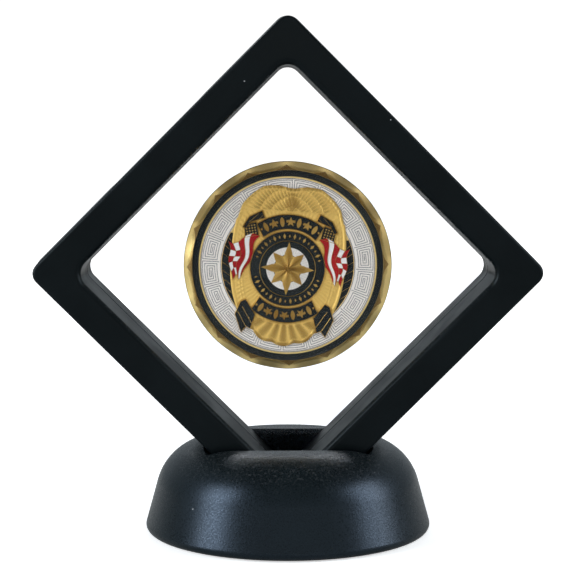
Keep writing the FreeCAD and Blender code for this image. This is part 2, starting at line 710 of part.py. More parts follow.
def drape_stripes(draw, first):
    """Every second stripe of both drapes, from the given one."""
    base = draw.value(FIELD + " + badge_relief")
    height = draw.value("top_relief")
    width = draw.value("drape_stripe")
    length = draw.value("drape_length")
    fall = draw.value("drape_slope")
    limit = draw.value("roundel_outer + inlay_gap")
    keep_out = disc(draw, limit, base, height)
    on_badge = badge_shape(draw, -draw.value("inlay_gap"))
    on_badge.translate(Vector(0, -draw.value("badge_relief"), 0))
    stripes = []
    for side in (-1, 1):
        for i in range(first, STRIPES, 2):
            x0 = side * (draw.value("drape_inner") + i * width)
            x1 = side * (draw.value("drape_inner") + (i + 1) * width)
            top = length / 2 - i * fall / STRIPES
            low = top - length
            corners = [Vector(x0, -base, top), Vector(x1, -base, top - fall / STRIPES),
                       Vector(x1, -base, low - fall / STRIPES), Vector(x0, -base, low)]
            face = Part.Face(Part.makePolygon(corners + corners[:1]))
            stripe = face.extrude(Vector(0, -height, 0)).cut(keep_out).common(on_badge)
            stripes.extend(solid for solid in stripe.Solids if solid.Volume > SLIVER)
    return Part.makeCompound(stripes)


def centre_relief(draw):
    """Eight pointed star in the middle ring."""
    base = draw.value(FIELD + " + badge_relief")
    points = []
    for i in range(2 * STAR_POINTS):
        radius = draw.value("star_valley" if i % 2 else "star_reach")
        angle = math.pi / 2 + i * math.pi / STAR_POINTS
        points.append(Vector(radius * math.cos(angle), -base, radius * math.sin(angle)))
    face = Part.Face(Part.makePolygon(points + points[:1]))
    star = face.extrude(Vector(0, -draw.value("top_relief"), 0))
    return coin_feature(draw, "centre_relief", star)


def make_subparts(draw):
    """All sub-parts, in the order of assembly."""
    front, rear = front_placement(draw), rear_placement(draw)
    return [
        base_shell(draw),
        base_pad(draw),
        rear_frame(draw),
        film_ring(draw, "rear_film_ring", rear),
        film(draw, "rear_film", rear),
        hinge_pin(draw, "hinge_pin_lower", -1),
        hinge_pin(draw, "hinge_pin_upper", 1),
        front_frame(draw),
        film_ring(draw, "front_film_ring", front),
        film(draw, "front_film", front),
        coin_blank(draw),
        annulus(draw, "enamel_ring", "rim_inner", "ridge_outer", FIELD, "inlay_height"),
        key_ring(draw),
        enamel_wedges(draw),
        badge_relief(draw),
        annulus(draw, "enamel_roundel", "roundel_outer", "roundel_inner",
                FIELD + " + badge_relief", "top_relief"),
        centre_relief(draw),
        enamel_banners(draw),
        coin_feature(draw, "enamel_drapes_red", drape_stripes(draw, 0)),
        coin_feature(draw, "enamel_drapes_white", drape_stripes(draw, 1)),
    ]


def check(doc, subparts):
    """Stop if an object failed or a sub-part has no valid shape."""
    for item in doc.Objects:
        if "Invalid" in item.State or "Error" in item.State:
            raise RuntimeError("failed: %s %s" % (item.Name, item.State))
    for item in subparts:
        if item.Shape.isNull() or not item.Shape.isValid() or not item.Shape.Solids:
            raise RuntimeError("no valid shape: " + item.Label)


def main():
    doc = FreeCAD.newDocument("coin_display_frame")
    draw = Drawing(doc, make_sheet(doc))
    subparts = make_subparts(draw)
    doc.recompute()
    check(doc, subparts)
    os.makedirs("parts", exist_ok=True)
    for item in subparts:
        item.Shape.exportStep("parts/%s.step" % item.Label)
        box = item.Shape.optimalBoundingBox()
        print("%-20s solids %d volume %9.2f  x %.2f..%.2f y %.2f..%.2f z %.2f..%.2f" % (
            item.Label, len(item.Shape.Solids), item.Shape.Volume, box.XMin, box.XMax,
            box.YMin, box.YMax, box.ZMin, box.ZMax))


main()
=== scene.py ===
import logging
import math
from dataclasses import dataclass, field
from enum import Enum
from typing import Callable, Iterable, Sequence

import bmesh
import bpy
import numpy as np
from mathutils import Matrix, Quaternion, Vector
from mathutils.geometry import delaunay_2d_cdt


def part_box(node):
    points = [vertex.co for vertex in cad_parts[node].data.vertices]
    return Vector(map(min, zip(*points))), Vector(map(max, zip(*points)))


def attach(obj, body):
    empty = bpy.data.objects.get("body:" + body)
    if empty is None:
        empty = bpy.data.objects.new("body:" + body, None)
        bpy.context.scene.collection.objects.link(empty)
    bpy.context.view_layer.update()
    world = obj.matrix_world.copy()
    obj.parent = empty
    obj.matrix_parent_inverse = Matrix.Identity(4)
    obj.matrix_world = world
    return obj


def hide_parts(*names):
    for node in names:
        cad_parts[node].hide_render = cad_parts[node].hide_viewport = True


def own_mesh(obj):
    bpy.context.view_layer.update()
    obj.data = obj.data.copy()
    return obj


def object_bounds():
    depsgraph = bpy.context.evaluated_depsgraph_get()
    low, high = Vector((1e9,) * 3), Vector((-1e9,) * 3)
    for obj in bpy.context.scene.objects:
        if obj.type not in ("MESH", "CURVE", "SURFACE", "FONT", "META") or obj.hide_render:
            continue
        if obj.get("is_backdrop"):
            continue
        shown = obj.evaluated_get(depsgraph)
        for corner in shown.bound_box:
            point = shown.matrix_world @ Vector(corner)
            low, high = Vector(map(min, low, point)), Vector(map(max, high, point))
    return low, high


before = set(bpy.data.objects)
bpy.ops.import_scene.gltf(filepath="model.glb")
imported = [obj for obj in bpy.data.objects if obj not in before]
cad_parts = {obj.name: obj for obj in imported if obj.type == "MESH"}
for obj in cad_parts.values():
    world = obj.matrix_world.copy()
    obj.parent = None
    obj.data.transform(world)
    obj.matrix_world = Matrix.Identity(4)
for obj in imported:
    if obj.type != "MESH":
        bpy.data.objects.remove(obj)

MM = 0.001
log = logging.getLogger("coin_display")

Point = tuple[float, float]
Colour = tuple[float, float, float]
Height = Callable[[np.ndarray, np.ndarray], np.ndarray]
Place = Callable[[np.ndarray], np.ndarray]

# Sockets of a colour Mix node.
MIX_FACTOR, MIX_FIRST, MIX_SECOND, MIX_RESULT = 0, 6, 7, 2


class Face(Enum):
    """The two faces of the coin and of its holder; the value is the way it looks along Y."""

    FRONT = -1.0
    REAR = 1.0


class Side(Enum):
    """Left or right half of the coin's design, as a sign for X."""

    LEFT = -1.0
    RIGHT = 1.0


# ---------------------------------------------------------------------------------------------
# Shader groups
# ---------------------------------------------------------------------------------------------


class NodeBoard:
    """Short ways to place and join nodes in one tree."""

    def __init__(self, tree: bpy.types.NodeTree) -> None:
        """Keep the tree that the nodes go into."""
        self.tree = tree

    def add(self, kind: str, **values: object) -> bpy.types.Node:
        """Place a node.

        Args:
            kind: The node's type, without "ShaderNode".
            values: Properties of the node, or values of its inputs by name with _ for a space.

        Returns:
            The new node.
        """
        node = self.tree.nodes.new("ShaderNode" + kind)
        for name, value in values.items():
            if hasattr(node, name):
                setattr(node, name, value)
            else:
                node.inputs[name.replace("_", " ")].default_value = value
        return node

    def join(self, source: bpy.types.NodeSocket, target: bpy.types.NodeSocket) -> None:
        """Link two sockets."""
        self.tree.links.new(source, target)

    def math(self, operation: str, first: object, second: object = 0.0, clamp: bool = False
             ) -> bpy.types.NodeSocket:
        """Place a Math node.

        Args:
            operation: The node's operation.
            first: A socket or a number.
            second: A socket or a number.
            clamp: Whether the result stays between 0 and 1.

        Returns:
            The node's result.
        """
        node = self.add("Math", operation=operation, use_clamp=clamp)
        for socket, value in zip(node.inputs, (first, second)):
            if isinstance(value, bpy.types.NodeSocket):
                self.join(value, socket)
            else:
                socket.default_value = value
        return node.outputs[0]

    def spread(self, value: bpy.types.NodeSocket, low: float, high: float, start: float,
               end: float) -> bpy.types.NodeSocket:
        """Map a value smoothly from one range to another.

        Args:
            value: The value to map.
            low: Value that gives start.
            high: Value that gives end.
            start: Result at low.
            end: Result at high.

        Returns:
            The mapped value.
        """
        node = self.add("MapRange", interpolation_type="SMOOTHSTEP", From_Min=low, From_Max=high,
                        To_Min=start, To_Max=end)
        self.join(value, node.inputs["Value"])
        return node.outputs["Result"]

    def around(self, value: bpy.types.NodeSocket, middle: float, reach: float
               ) -> bpy.types.NodeSocket:
        """Map a value from 0 to 1 to a band that reaches as far below a middle as above it."""
        return self.spread(value, 0.0, 1.0, middle - reach, middle + reach)

    def tint(self, factor: bpy.types.NodeSocket, first: Colour | bpy.types.NodeSocket,
             second: Colour | bpy.types.NodeSocket) -> bpy.types.NodeSocket:
        """Mix two colours.

        Args:
            factor: How much of the second colour shows.
            first: Colour at 0, as numbers or a socket.
            second: Colour at 1, as numbers or a socket.

        Returns:
            The mixed colour.
        """
        node = self.add("Mix", data_type="RGBA")
        self.join(factor, node.inputs[MIX_FACTOR])
        for index, value in ((MIX_FIRST, first), (MIX_SECOND, second)):
            if isinstance(value, bpy.types.NodeSocket):
                self.join(value, node.inputs[index])
            else:
                node.inputs[index].default_value = (*value, 1)
        return node.outputs[MIX_RESULT]

    def emboss(self, shader: bpy.types.Node, height: bpy.types.NodeSocket, depth: float) -> None:
        """Bump a shader's surface.

        Args:
            shader: The shader.
            height: The bump's height, about 0 to 1.
            depth: What a height of 1 stands for, in metres.
        """
        bump = self.add("Bump", Distance=depth, Strength=1.0)
        self.join(height, bump.inputs["Height"])
        self.join(bump.outputs[0], shader.inputs["Normal"])


def new_group(name: str, inputs: dict[str, float], outputs: Iterable[str]) -> NodeBoard:
    """Start a shader node group with float sockets.

    Args:
        name: The group's name.
        inputs: Each input's name and default.
        outputs: Each output's name.

    Returns:
        A board over the group's tree, with its input and output nodes placed.
    """
    tree = bpy.data.node_groups.new(name, "ShaderNodeTree")
    for label, value in inputs.items():
        socket = tree.interface.new_socket(label, in_out="INPUT", socket_type="NodeSocketFloat")
        socket.default_value = value
    for label in outputs:
        tree.interface.new_socket(label, in_out="OUTPUT", socket_type="NodeSocketFloat")
    tree.nodes.new("NodeGroupInput").name = "in"
    tree.nodes.new("NodeGroupOutput").name = "out"
    return NodeBoard(tree)


def grain_group() -> bpy.types.NodeTree:
    """Fine moulded or blasted grain over broad cloudiness.

    Returns:
        A group with the outputs Height, Tone and Cloud, each about 0 to 1.
    """
    board = new_group("fine_grain", {"Size": 0.0002, "Sharpness": 0.6},
                      ("Height", "Tone", "Cloud"))
    ends = board.tree.nodes
    place = board.add("TexCoord").outputs["Object"]
    frequency = board.math("DIVIDE", 1.0, ends["in"].outputs["Size"])
    grain = board.add("TexNoise", Detail=3.0)
    board.join(place, grain.inputs["Vector"])
    board.join(frequency, grain.inputs["Scale"])
    board.join(ends["in"].outputs["Sharpness"], grain.inputs["Roughness"])
    cells = board.add("TexVoronoi", feature="SMOOTH_F1")
    board.join(place, cells.inputs["Vector"])
    board.join(board.math("MULTIPLY", frequency, 0.7), cells.inputs["Scale"])
    cloud = board.add("TexNoise", Scale=90.0, Detail=4.0)
    board.join(place, cloud.inputs["Vector"])
    height = board.math("ADD", board.math("MULTIPLY", grain.outputs[0], 0.6),
                        board.math("MULTIPLY", cells.outputs["Distance"], 0.4))
    board.join(height, ends["out"].inputs["Height"])
    board.join(board.spread(grain.outputs[0], 0.35, 0.65, 0.0, 1.0), ends["out"].inputs["Tone"])
    board.join(board.spread(cloud.outputs[0], 0.3, 0.7, 0.0, 1.0), ends["out"].inputs["Cloud"])
    return board.tree


def edge_wear_group() -> bpy.types.NodeTree:
    """Mask of the edges that hands and tables rub.

    Returns:
        A group with the output Mask, 1 on a rubbed edge.
    """
    board = new_group("edge_wear", {"Width": 0.0004, "Breakup": 400.0}, ("Mask",))
    ends = board.tree.nodes
    rounded = board.add("Bevel", samples=2)
    board.join(ends["in"].outputs["Width"], rounded.inputs["Radius"])
    turn = board.add("VectorMath", operation="DOT_PRODUCT")
    board.join(rounded.outputs[0], turn.inputs[0])
    board.join(board.add("NewGeometry").outputs["Normal"], turn.inputs[1])
    edge = board.spread(turn.outputs["Value"], 0.995, 0.9, 0.0, 1.0)
    noise = board.add("TexNoise", Detail=4.0)
    board.join(board.add("TexCoord").outputs["Object"], noise.inputs["Vector"])
    board.join(ends["in"].outputs["Breakup"], noise.inputs["Scale"])
    patchy = board.spread(noise.outputs[0], 0.42, 0.62, 0.25, 1.0)
    board.join(board.math("MULTIPLY", edge, patchy), ends["out"].inputs["Mask"])
    return board.tree


def dust_group() -> bpy.types.NodeTree:
    """Sparse specks and a thin settled film on faces that look up.

    Returns:
        A group with the output Mask, 1 on a speck.
    """
    board = new_group("dust", {"Spacing": 0.004, "Speck": 0.03, "Settled": 0.1}, ("Mask",))
    ends = board.tree.nodes
    place = board.add("TexCoord").outputs["Object"]
    cells = board.add("TexVoronoi", Randomness=1.0)
    board.join(place, cells.inputs["Vector"])
    board.join(board.math("DIVIDE", 1.0, ends["in"].outputs["Spacing"]), cells.inputs["Scale"])
    near = board.math("LESS_THAN", cells.outputs["Distance"], ends["in"].outputs["Speck"])
    pick = board.add("SeparateColor")
    board.join(cells.outputs["Color"], pick.inputs[0])
    speck = board.math("MULTIPLY", near, board.math("GREATER_THAN", pick.outputs[0], 0.55))
    up = board.add("SeparateXYZ")
    board.join(board.add("NewGeometry").outputs["Normal"], up.inputs[0])
    fine = board.add("TexNoise", Scale=2600.0, Detail=3.0)
    board.join(place, fine.inputs["Vector"])
    laid = board.math("MULTIPLY", board.spread(up.outputs["Z"], 0.3, 1.0, 0.0, 1.0),
                      board.spread(fine.outputs[0], 0.5, 0.7, 0.0, 1.0))
    film = board.math("MULTIPLY", laid, ends["in"].outputs["Settled"])
    board.join(board.math("MAXIMUM", speck, film), ends["out"].inputs["Mask"])
    return board.tree


class Groups:
    """The shared shader groups, each built once."""

    def __init__(self) -> None:
        """Build the groups."""
        self.grain = grain_group()
        self.wear = edge_wear_group()
        self.dust = dust_group()


# ---------------------------------------------------------------------------------------------
# Finishes
# ---------------------------------------------------------------------------------------------


def start_material(name: str) -> tuple[bpy.types.Material, NodeBoard, bpy.types.Node]:
    """Make an empty node material with a Principled shader.

    Args:
        name: The material's name.

    Returns:
        The material, a board over its tree and its Principled node.
    """
    material = bpy.data.materials.new(name)
    material.use_nodes = True
    material.node_tree.nodes.clear()
    board = NodeBoard(material.node_tree)
    shader = board.add("BsdfPrincipled")
    board.join(shader.outputs[0], board.add("OutputMaterial").inputs["Surface"])
    return material, board, shader


@dataclass(frozen=True)
class MouldedPlastic:
    """Injection-moulded plastic with a fine grain, rubbed edges and a little dust."""

    name: str
    colour: Colour
    worn_colour: Colour
    roughness: float
    roughness_spread: float = 0.06
    grain_size: float = 0.25 * MM
    grain_depth: float = 0.006 * MM
    wear_width: float = 0.4 * MM
    dust_amount: float = 0.12
    speck: float = 0.035
    specular: float = 0.5
    sheen_tint: Colour = (1.0, 1.0, 1.0)
    sparkle: float = 0.0
    shade: float = 0.75
    worn_share: float = 0.7
    worn_polish: float = 0.08
    dust_colour: Colour = (0.30, 0.31, 0.33)
    dust_roughness: float = 0.5

    def make(self, groups: Groups) -> bpy.types.Material:
        """Build the material.

        Args:
            groups: The shared shader groups.

        Returns:
            The material.
        """
        material, board, shader = start_material(self.name)
        shader.inputs["Specular IOR Level"].default_value = self.specular
        shader.inputs["Specular Tint"].default_value = (*self.sheen_tint, 1)
        grain = board.add("Group", node_tree=groups.grain, Size=self.grain_size)
        wear = board.add("Group", node_tree=groups.wear, Width=self.wear_width)
        dust = board.add("Group", node_tree=groups.dust, Settled=self.dust_amount,
                         Speck=self.speck)
        shaded = tuple(self.shade * part for part in self.colour)
        plain = board.tint(grain.outputs["Cloud"], shaded, self.colour)
        rubbed = board.tint(board.math("MULTIPLY", wear.outputs["Mask"], self.worn_share), plain,
                            self.worn_colour)
        board.join(board.tint(dust.outputs["Mask"], rubbed, self.dust_colour),
                   shader.inputs["Base Color"])
        satin = board.around(grain.outputs["Cloud"], self.roughness, self.roughness_spread)
        glints = board.math("MULTIPLY", grain.outputs["Tone"], self.sparkle)
        rubs = board.math("MULTIPLY", wear.outputs["Mask"], self.worn_polish)
        polished = board.math("SUBTRACT", satin, board.math("ADD", glints, rubs))
        dulled = board.math("MULTIPLY", dust.outputs["Mask"], self.dust_roughness)
        board.join(board.math("ADD", polished, dulled, True), shader.inputs["Roughness"])
        board.emboss(shader, grain.outputs["Height"], self.grain_depth)
        return material


@dataclass(frozen=True)
class PlatedMetal:
    """Struck and plated metal with a blasted grain, with painted shade darkening its hollows, and
    brighter on its rubbed edges.
    """

    name: str
    colour: Colour
    # deep_colour is the colour of the painted shade that darkens the hollows.
    deep_colour: Colour
    roughness: float
    worn_roughness: float
    blast_size: float = 0.12 * MM
    blast_depth: float = 0.004 * MM
    wear_width: float = 0.12 * MM
    wear_breakup: float = 900.0
    hollow_reach: float = 0.35 * MM
    roughness_spread: float = 0.05

    def make(self, groups: Groups) -> bpy.types.Material:
        """Build the material.

        Args:
            groups: The shared shader groups.

        Returns:
            The material.
        """
        material, board, shader = start_material(self.name)
        shader.inputs["Metallic"].default_value = 1.0
        grain = board.add("Group", node_tree=groups.grain, Size=self.blast_size)
        wear = board.add("Group", node_tree=groups.wear, Width=self.wear_width,
                         Breakup=self.wear_breakup)
        # Painted shade: ambient occlusion darkens the colour towards deep_colour in the hollows,
        # broken up by cloud noise.
        cavity = board.add("AmbientOcclusion", samples=2, Distance=self.hollow_reach)
        shadow = board.spread(cavity.outputs["AO"], 0.35, 0.95, 1.0, 0.0)
        painted_shade = board.math("MULTIPLY", shadow, board.spread(
            grain.outputs["Cloud"], 0.0, 1.0, 0.6, 1.0), True)
        board.join(board.tint(painted_shade, self.colour, self.deep_colour), shader.inputs["Base Color"])
        blasted = board.around(grain.outputs["Tone"], self.roughness, self.roughness_spread)
        edge = board.math("MULTIPLY", wear.outputs["Mask"],
                          self.roughness - self.worn_roughness)
        board.join(board.math("SUBTRACT", blasted, edge, True), shader.inputs["Roughness"])
        board.emboss(shader, grain.outputs["Height"], self.blast_depth)
        return material


@dataclass(frozen=True)
class SoftEnamel:
    """Baked enamel with a slightly wavy gloss."""

    name: str
    colour: Colour
    deep_colour: Colour
    roughness: float = 0.20
    roughness_spread: float = 0.02
    specular: float = 0.14
    wave_size: float = 0.5 * MM
    wave_depth: float = 0.003 * MM

    def make(self, groups: Groups) -> bpy.types.Material:
        """Build the material.

        Args:
            groups: The shared shader groups.

        Returns:
            The material.
        """
        material, board, shader = start_material(self.name)
        shader.inputs["Specular IOR Level"].default_value = self.specular
        grain = board.add("Group", node_tree=groups.grain, Size=self.wave_size)
        board.join(board.tint(grain.outputs["Cloud"], self.colour, self.deep_colour),
                   shader.inputs["Base Color"])
        board.join(board.around(grain.outputs["Tone"], self.roughness, self.roughness_spread),
                   shader.inputs["Roughness"])
        board.emboss(shader, grain.outputs["Height"], self.wave_depth)
        return material


@dataclass(frozen=True)
class ClearFilm:
    """Stretched clear film: seen through, with a gloss that grows towards grazing angles."""

    name: str = "clear_film"
    straight_share: float = 0.004
    grazing_share: float = 0.45
    falloff: float = 4.0
    tone: Colour = (0.97, 0.98, 1.0)
    smoothest: float = 0.04
    roughest: float = 0.12
    wave_size: float = 2.5 * MM
    wave_depth: float = 0.01 * MM

    def make(self, groups: Groups) -> bpy.types.Material:
        """Build the material.

        Args:
            groups: The shared shader groups.

        Returns:
            The material.
        """
        material, board, shader = start_material(self.name)
        shader.inputs["Metallic"].default_value = 1.0
        shader.inputs["Base Color"].default_value = (*self.tone, 1)
        grain = board.add("Group", node_tree=groups.grain, Size=self.wave_size)
        board.join(board.spread(grain.outputs["Cloud"], 0.0, 1.0, self.smoothest, self.roughest),
                   shader.inputs["Roughness"])
        board.emboss(shader, grain.outputs["Height"], self.wave_depth)
        facing = board.add("LayerWeight", Blend=0.5).outputs["Facing"]
        curve = board.math("POWER", facing, self.falloff)
        share = board.math("ADD", board.math("MULTIPLY", curve, self.grazing_share),
                           self.straight_share, True)
        mix = board.add("MixShader")
        board.join(share, mix.inputs[0])
        board.join(board.add("BsdfTransparent").outputs[0], mix.inputs[1])
        board.join(shader.outputs[0], mix.inputs[2])
        output = next(n for n in board.tree.nodes if n.type == "OUTPUT_MATERIAL")
        board.join(mix.outputs[0], output.inputs["Surface"])
        return material


class Finishes:
    """Every material of the object, by the name of its finish."""

    def __init__(self) -> None:
        """Build the materials."""
        groups = Groups()
        recipes = (
            MouldedPlastic("frame_plastic", (0.0030, 0.0048, 0.0058), (0.024, 0.028, 0.032), 0.34,
                           grain_depth=0.003 * MM, specular=0.10, sheen_tint=(0.82, 0.94, 1.0)),
            MouldedPlastic("base_plastic", (0.0048, 0.0080, 0.0092), (0.020, 0.024, 0.030), 0.40,
                           roughness_spread=0.015, grain_size=0.28 * MM,
                           grain_depth=0.030 * MM, speck=0.04, specular=0.30,
                           sheen_tint=(0.58, 0.74, 1.0), sparkle=0.16),
            MouldedPlastic("ring_plastic", (0.012, 0.013, 0.014), (0.03, 0.03, 0.03), 0.45),
            MouldedPlastic("pad_rubber", (0.014, 0.014, 0.015), (0.03, 0.03, 0.03), 0.75,
                           grain_size=0.6 * MM, grain_depth=0.04 * MM),
            PlatedMetal("pin_steel", (0.55, 0.55, 0.56), (0.20, 0.19, 0.18), 0.28, 0.15),
            # A darker, rougher copy of the rim's gold: painted shade on the rim's crest facets.
            PlatedMetal("crest_gold_painted_shade", (0.40, 0.26, 0.10), (0.20, 0.12, 0.04), 0.45, 0.25),
            PlatedMetal("rim_gold", (0.88, 0.67, 0.28), (0.32, 0.19, 0.05), 0.38, 0.16,
                        blast_depth=0.001 * MM),
            PlatedMetal("relief_gold", (0.86, 0.59, 0.18), (0.27, 0.14, 0.03), 0.54, 0.26),
            PlatedMetal("field_silver", (0.98, 0.94, 0.90), (0.70, 0.67, 0.65), 0.68, 0.4),
            # A darker, smoother copy of the band's silver: painted shade along the raised key
            # lines.
            PlatedMetal("line_silver_painted_shade", (0.50, 0.48, 0.50), (0.20, 0.19, 0.20), 0.30, 0.15),
            SoftEnamel("enamel_black", (0.010, 0.013, 0.015), (0.020, 0.024, 0.024)),
            SoftEnamel("enamel_red", (0.42, 0.018, 0.020), (0.30, 0.010, 0.014)),
            SoftEnamel("enamel_white", (0.92, 0.89, 0.88), (0.80, 0.78, 0.78)),
            ClearFilm(),
        )
        self.all = {recipe.name: recipe.make(groups) for recipe in recipes}

    def dress(self, piece: bpy.types.Object, name: str) -> None:
        """Give a piece one finish.

        Args:
            piece: A new piece or a CAD node.
            name: The finish.
        """
        if not piece.material_slots:
            piece.data.materials.append(self.all[name])
        for place in piece.material_slots:
            place.material = self.all[name]


# ---------------------------------------------------------------------------------------------
# Mesh tools
# ---------------------------------------------------------------------------------------------


@dataclass
class Shape:
    """Corners and faces that are gathered before they become a mesh."""

    points: list[np.ndarray] = field(default_factory=list)
    faces: list[tuple[int, ...]] = field(default_factory=list)
    count: int = 0

    def add(self, points: np.ndarray, faces: Iterable[Sequence[int]]) -> None:
        """Append a patch.

        Args:
            points: The patch's corners, one row each.
            faces: Its faces, counted from its own first corner.
        """
        self.points.append(np.asarray(points, float))
        self.faces += [tuple(int(i) + self.count for i in face) for face in faces]
        self.count += len(points)

    def object(self, name: str, sharp_angle: float = 32.0) -> bpy.types.Object:
        """Make the mesh and its object.

        Args:
            name: The piece's name.
            sharp_angle: Edges that bend more than this many degrees stay crisp.

        Returns:
            The object, linked to the scene.
        """
        mesh = bpy.data.meshes.new(name)
        mesh.from_pydata(np.vstack(self.points).tolist(), [], self.faces)
        mesh.validate()
        work = bmesh.new()
        work.from_mesh(mesh)
        bmesh.ops.recalc_face_normals(work, faces=work.faces)
        work.to_mesh(mesh)
        work.free()
        mesh.polygons.foreach_set("use_smooth", [True] * len(mesh.polygons))
        mesh.set_sharp_from_angle(angle=math.radians(sharp_angle))
        piece = bpy.data.objects.new(name, mesh)
        bpy.context.scene.collection.objects.link(piece)
        return piece


def inside(outline: np.ndarray, x: np.ndarray, y: np.ndarray) -> np.ndarray:
    """Which points lie inside a closed outline.

    Args:
        outline: Corners of the outline.
        x: The points' first coordinates.
        y: Their second coordinates.

    Returns:
        True where a point is inside.
    """
    result = np.zeros(x.shape, bool)
    for (x0, y0), (x1, y1) in zip(outline, np.roll(outline, -1, 0)):
        if y0 != y1:
            crosses = (y0 > y) != (y1 > y)
            result ^= crosses & (x < (x1 - x0) * (y - y0) / (y1 - y0) + x0)
    return result


def edge_distance(outline: np.ndarray, x: np.ndarray, y: np.ndarray) -> np.ndarray:
    """Distance of points from a closed outline.

    Args:
        outline: Corners of the outline.
        x: The points' first coordinates.
        y: Their second coordinates.

    Returns:
        The distances.
    """
    best = np.full(x.shape, 1e9)
    for start, end in zip(outline, np.roll(outline, -1, 0)):
        way = end - start
        span = max(float(way @ way), 1e-12)
        share = np.clip(((x - start[0]) * way[0] + (y - start[1]) * way[1]) / span, 0, 1)
        best = np.minimum(best, np.hypot(x - start[0] - share * way[0],
                                         y - start[1] - share * way[1]))
    return best


def triangles(outline: np.ndarray, extra: np.ndarray) -> tuple[np.ndarray, list[list[int]]]:
    """Fill an outline with triangles.

    Args:
        outline: Corners of the outline, anticlockwise.
        extra: More points inside it.

    Returns:
        The corners, the outline's first, and the triangles.
    """
    corners = [Vector(p) for p in np.vstack([outline, extra])] if len(extra) else [
        Vector(p) for p in outline]
    ring = list(range(len(outline)))
    made, _, faces, *_ = delaunay_2d_cdt(corners, [], [ring], 1, 1e-7)
    return np.array([tuple(p) for p in made]), faces


def raise_outline(shape: Shape, outline: Sequence[Point], floor: float, height: Height,
                  step: float = 0.0, place: Place | None = None) -> None:
    """Raise a closed solid over an outline.

    Args:
        shape: Where the solid is added.
        outline: Corners of the outline, anticlockwise.
        floor: Height of the solid's underside.
        height: Height of its top over a point.
        step: Spacing of the points inside, or 0 for none.
        place: Puts flat points with a height into the object's frame.
    """
    border = np.array(outline, float)
    area = np.sum(border[:, 0] * np.roll(border[:, 1], -1) - border[:, 1] * np.roll(
        border[:, 0], -1))
    if area < 0:
        border = border[::-1]
    extra = np.zeros((0, 2))
    if step:
        low, high = border.min(0), border.max(0)
        rows = np.arange(low[1] + step / 2, high[1], step * 0.866)
        grid = [(x + (i % 2) * step / 2, y) for i, y in enumerate(rows)
                for x in np.arange(low[0], high[0], step)]
        extra = np.array(grid)
        keep = inside(border, extra[:, 0], extra[:, 1])
        extra = extra[keep]
        extra = extra[edge_distance(border, extra[:, 0], extra[:, 1]) > step * 0.45]
    top, faces = triangles(border, extra)
    tall = np.column_stack([top, height(top[:, 0], top[:, 1])])
    under, under_faces = triangles(border, np.zeros((0, 2)))
    low_points = np.column_stack([under, np.full(len(under), floor)])
    count, first = len(border), len(tall)
    walls = [(first + i, first + (i + 1) % count, (i + 1) % count, i) for i in range(count)]
    points = np.vstack([tall, low_points])
    lids = [tuple(first + i for i in reversed(f)) for f in under_faces]
    shape.add(place(points) if place else points, [*faces, *lids, *walls])


def raise_line(shape: Shape, path: Sequence[Point], width: float, floor: float, top: float,
               place: Place, closed: bool = False) -> None:
    """Raise a thin rounded ridge along a path.

    Args:
        shape: Where the ridge is added.
        path: Points of its middle line.
        width: Width at its foot.
        floor: Height of its foot.
        top: Height of its crown.
        place: Puts flat points with a height into the object's frame.
        closed: Whether the path joins its own start.
    """
    line = np.array(path, float)
    before = np.roll(line, 1, 0)
    after = np.roll(line, -1, 0)
    if not closed:
        before[0], after[-1] = line[0], line[-1]
    into = line - before
    out = after - line
    into[np.hypot(*into.T) < 1e-9] = out[np.hypot(*into.T) < 1e-9]
    out[np.hypot(*out.T) < 1e-9] = into[np.hypot(*out.T) < 1e-9]
    into /= np.hypot(*into.T)[:, None]
    out /= np.hypot(*out.T)[:, None]
    normal = np.column_stack([-(into + out)[:, 1], (into + out)[:, 0]])
    size = np.maximum(np.hypot(*normal.T), 1e-9)[:, None]
    normal = normal / size
    miter = 1 / np.maximum((normal * np.column_stack([-into[:, 1], into[:, 0]])).sum(1), 0.5)
    rise = top - floor
    section = ((-0.5, 0.0), (-0.34, 0.8), (0.0, 1.0), (0.34, 0.8), (0.5, 0.0))
    rows = []
    for across, up in section:
        flat = line + normal * (across * width * miter)[:, None]
        rows.append(np.column_stack([flat, np.full(len(line), floor + up * rise)]))
    points = np.stack(rows, 1).reshape(-1, 3)
    sides = len(section)
    spans = len(line) if closed else len(line) - 1
    faces = []
    for i in range(spans):
        a, b = i * sides, ((i + 1) % len(line)) * sides
        faces += [(a + k + 1, a + k, b + k, b + k + 1) for k in range(sides - 1)]
        faces.append((a, a + sides - 1, b + sides - 1, b))
    if not closed:
        end = (len(line) - 1) * sides
        faces.append(tuple(range(sides)))
        faces.append(tuple(end + k for k in reversed(range(sides))))
    shape.add(place(points), faces)


def spin(shape: Shape, profile: Sequence[Point], turns: int, place: Place) -> None:
    """Turn a profile of (radius, height) into a ring or a disc.

    Args:
        shape: Where the solid is added.
        profile: Its section, from the inside of the top round to the underside.
        turns: Number of steps round.
        place: Puts flat points with a height into the object's frame.
    """
    section = np.array(profile, float)
    angle = np.linspace(0, 2 * math.pi, turns, endpoint=False)
    x = np.outer(np.cos(angle), section[:, 0])
    y = np.outer(np.sin(angle), section[:, 0])
    high = np.tile(section[:, 1], (turns, 1))
    points = np.stack([x, y, high], 2).reshape(-1, 3)
    sides = len(section)
    faces = [(i * sides + k, i * sides + (k + 1) % sides,
              (i + 1) % turns * sides + (k + 1) % sides, (i + 1) % turns * sides + k)
             for i in range(turns) for k in range(sides)]
    shape.add(place(points), faces)


def ring(shape: Shape, inner: float, outer: float, floor: float, top: float, turns: int,
         place: Place) -> None:
    """Raise a flat ring.

    Args:
        shape: Where the ring is added.
        inner: Its inner radius.
        outer: Its outer radius.
        floor: Height of its underside.
        top: Height of its top.
        turns: Number of steps round.
        place: Puts flat points with a height into the object's frame.
    """
    spin(shape, [(outer, top), (inner, top), (inner, floor), (outer, floor)], turns, place)


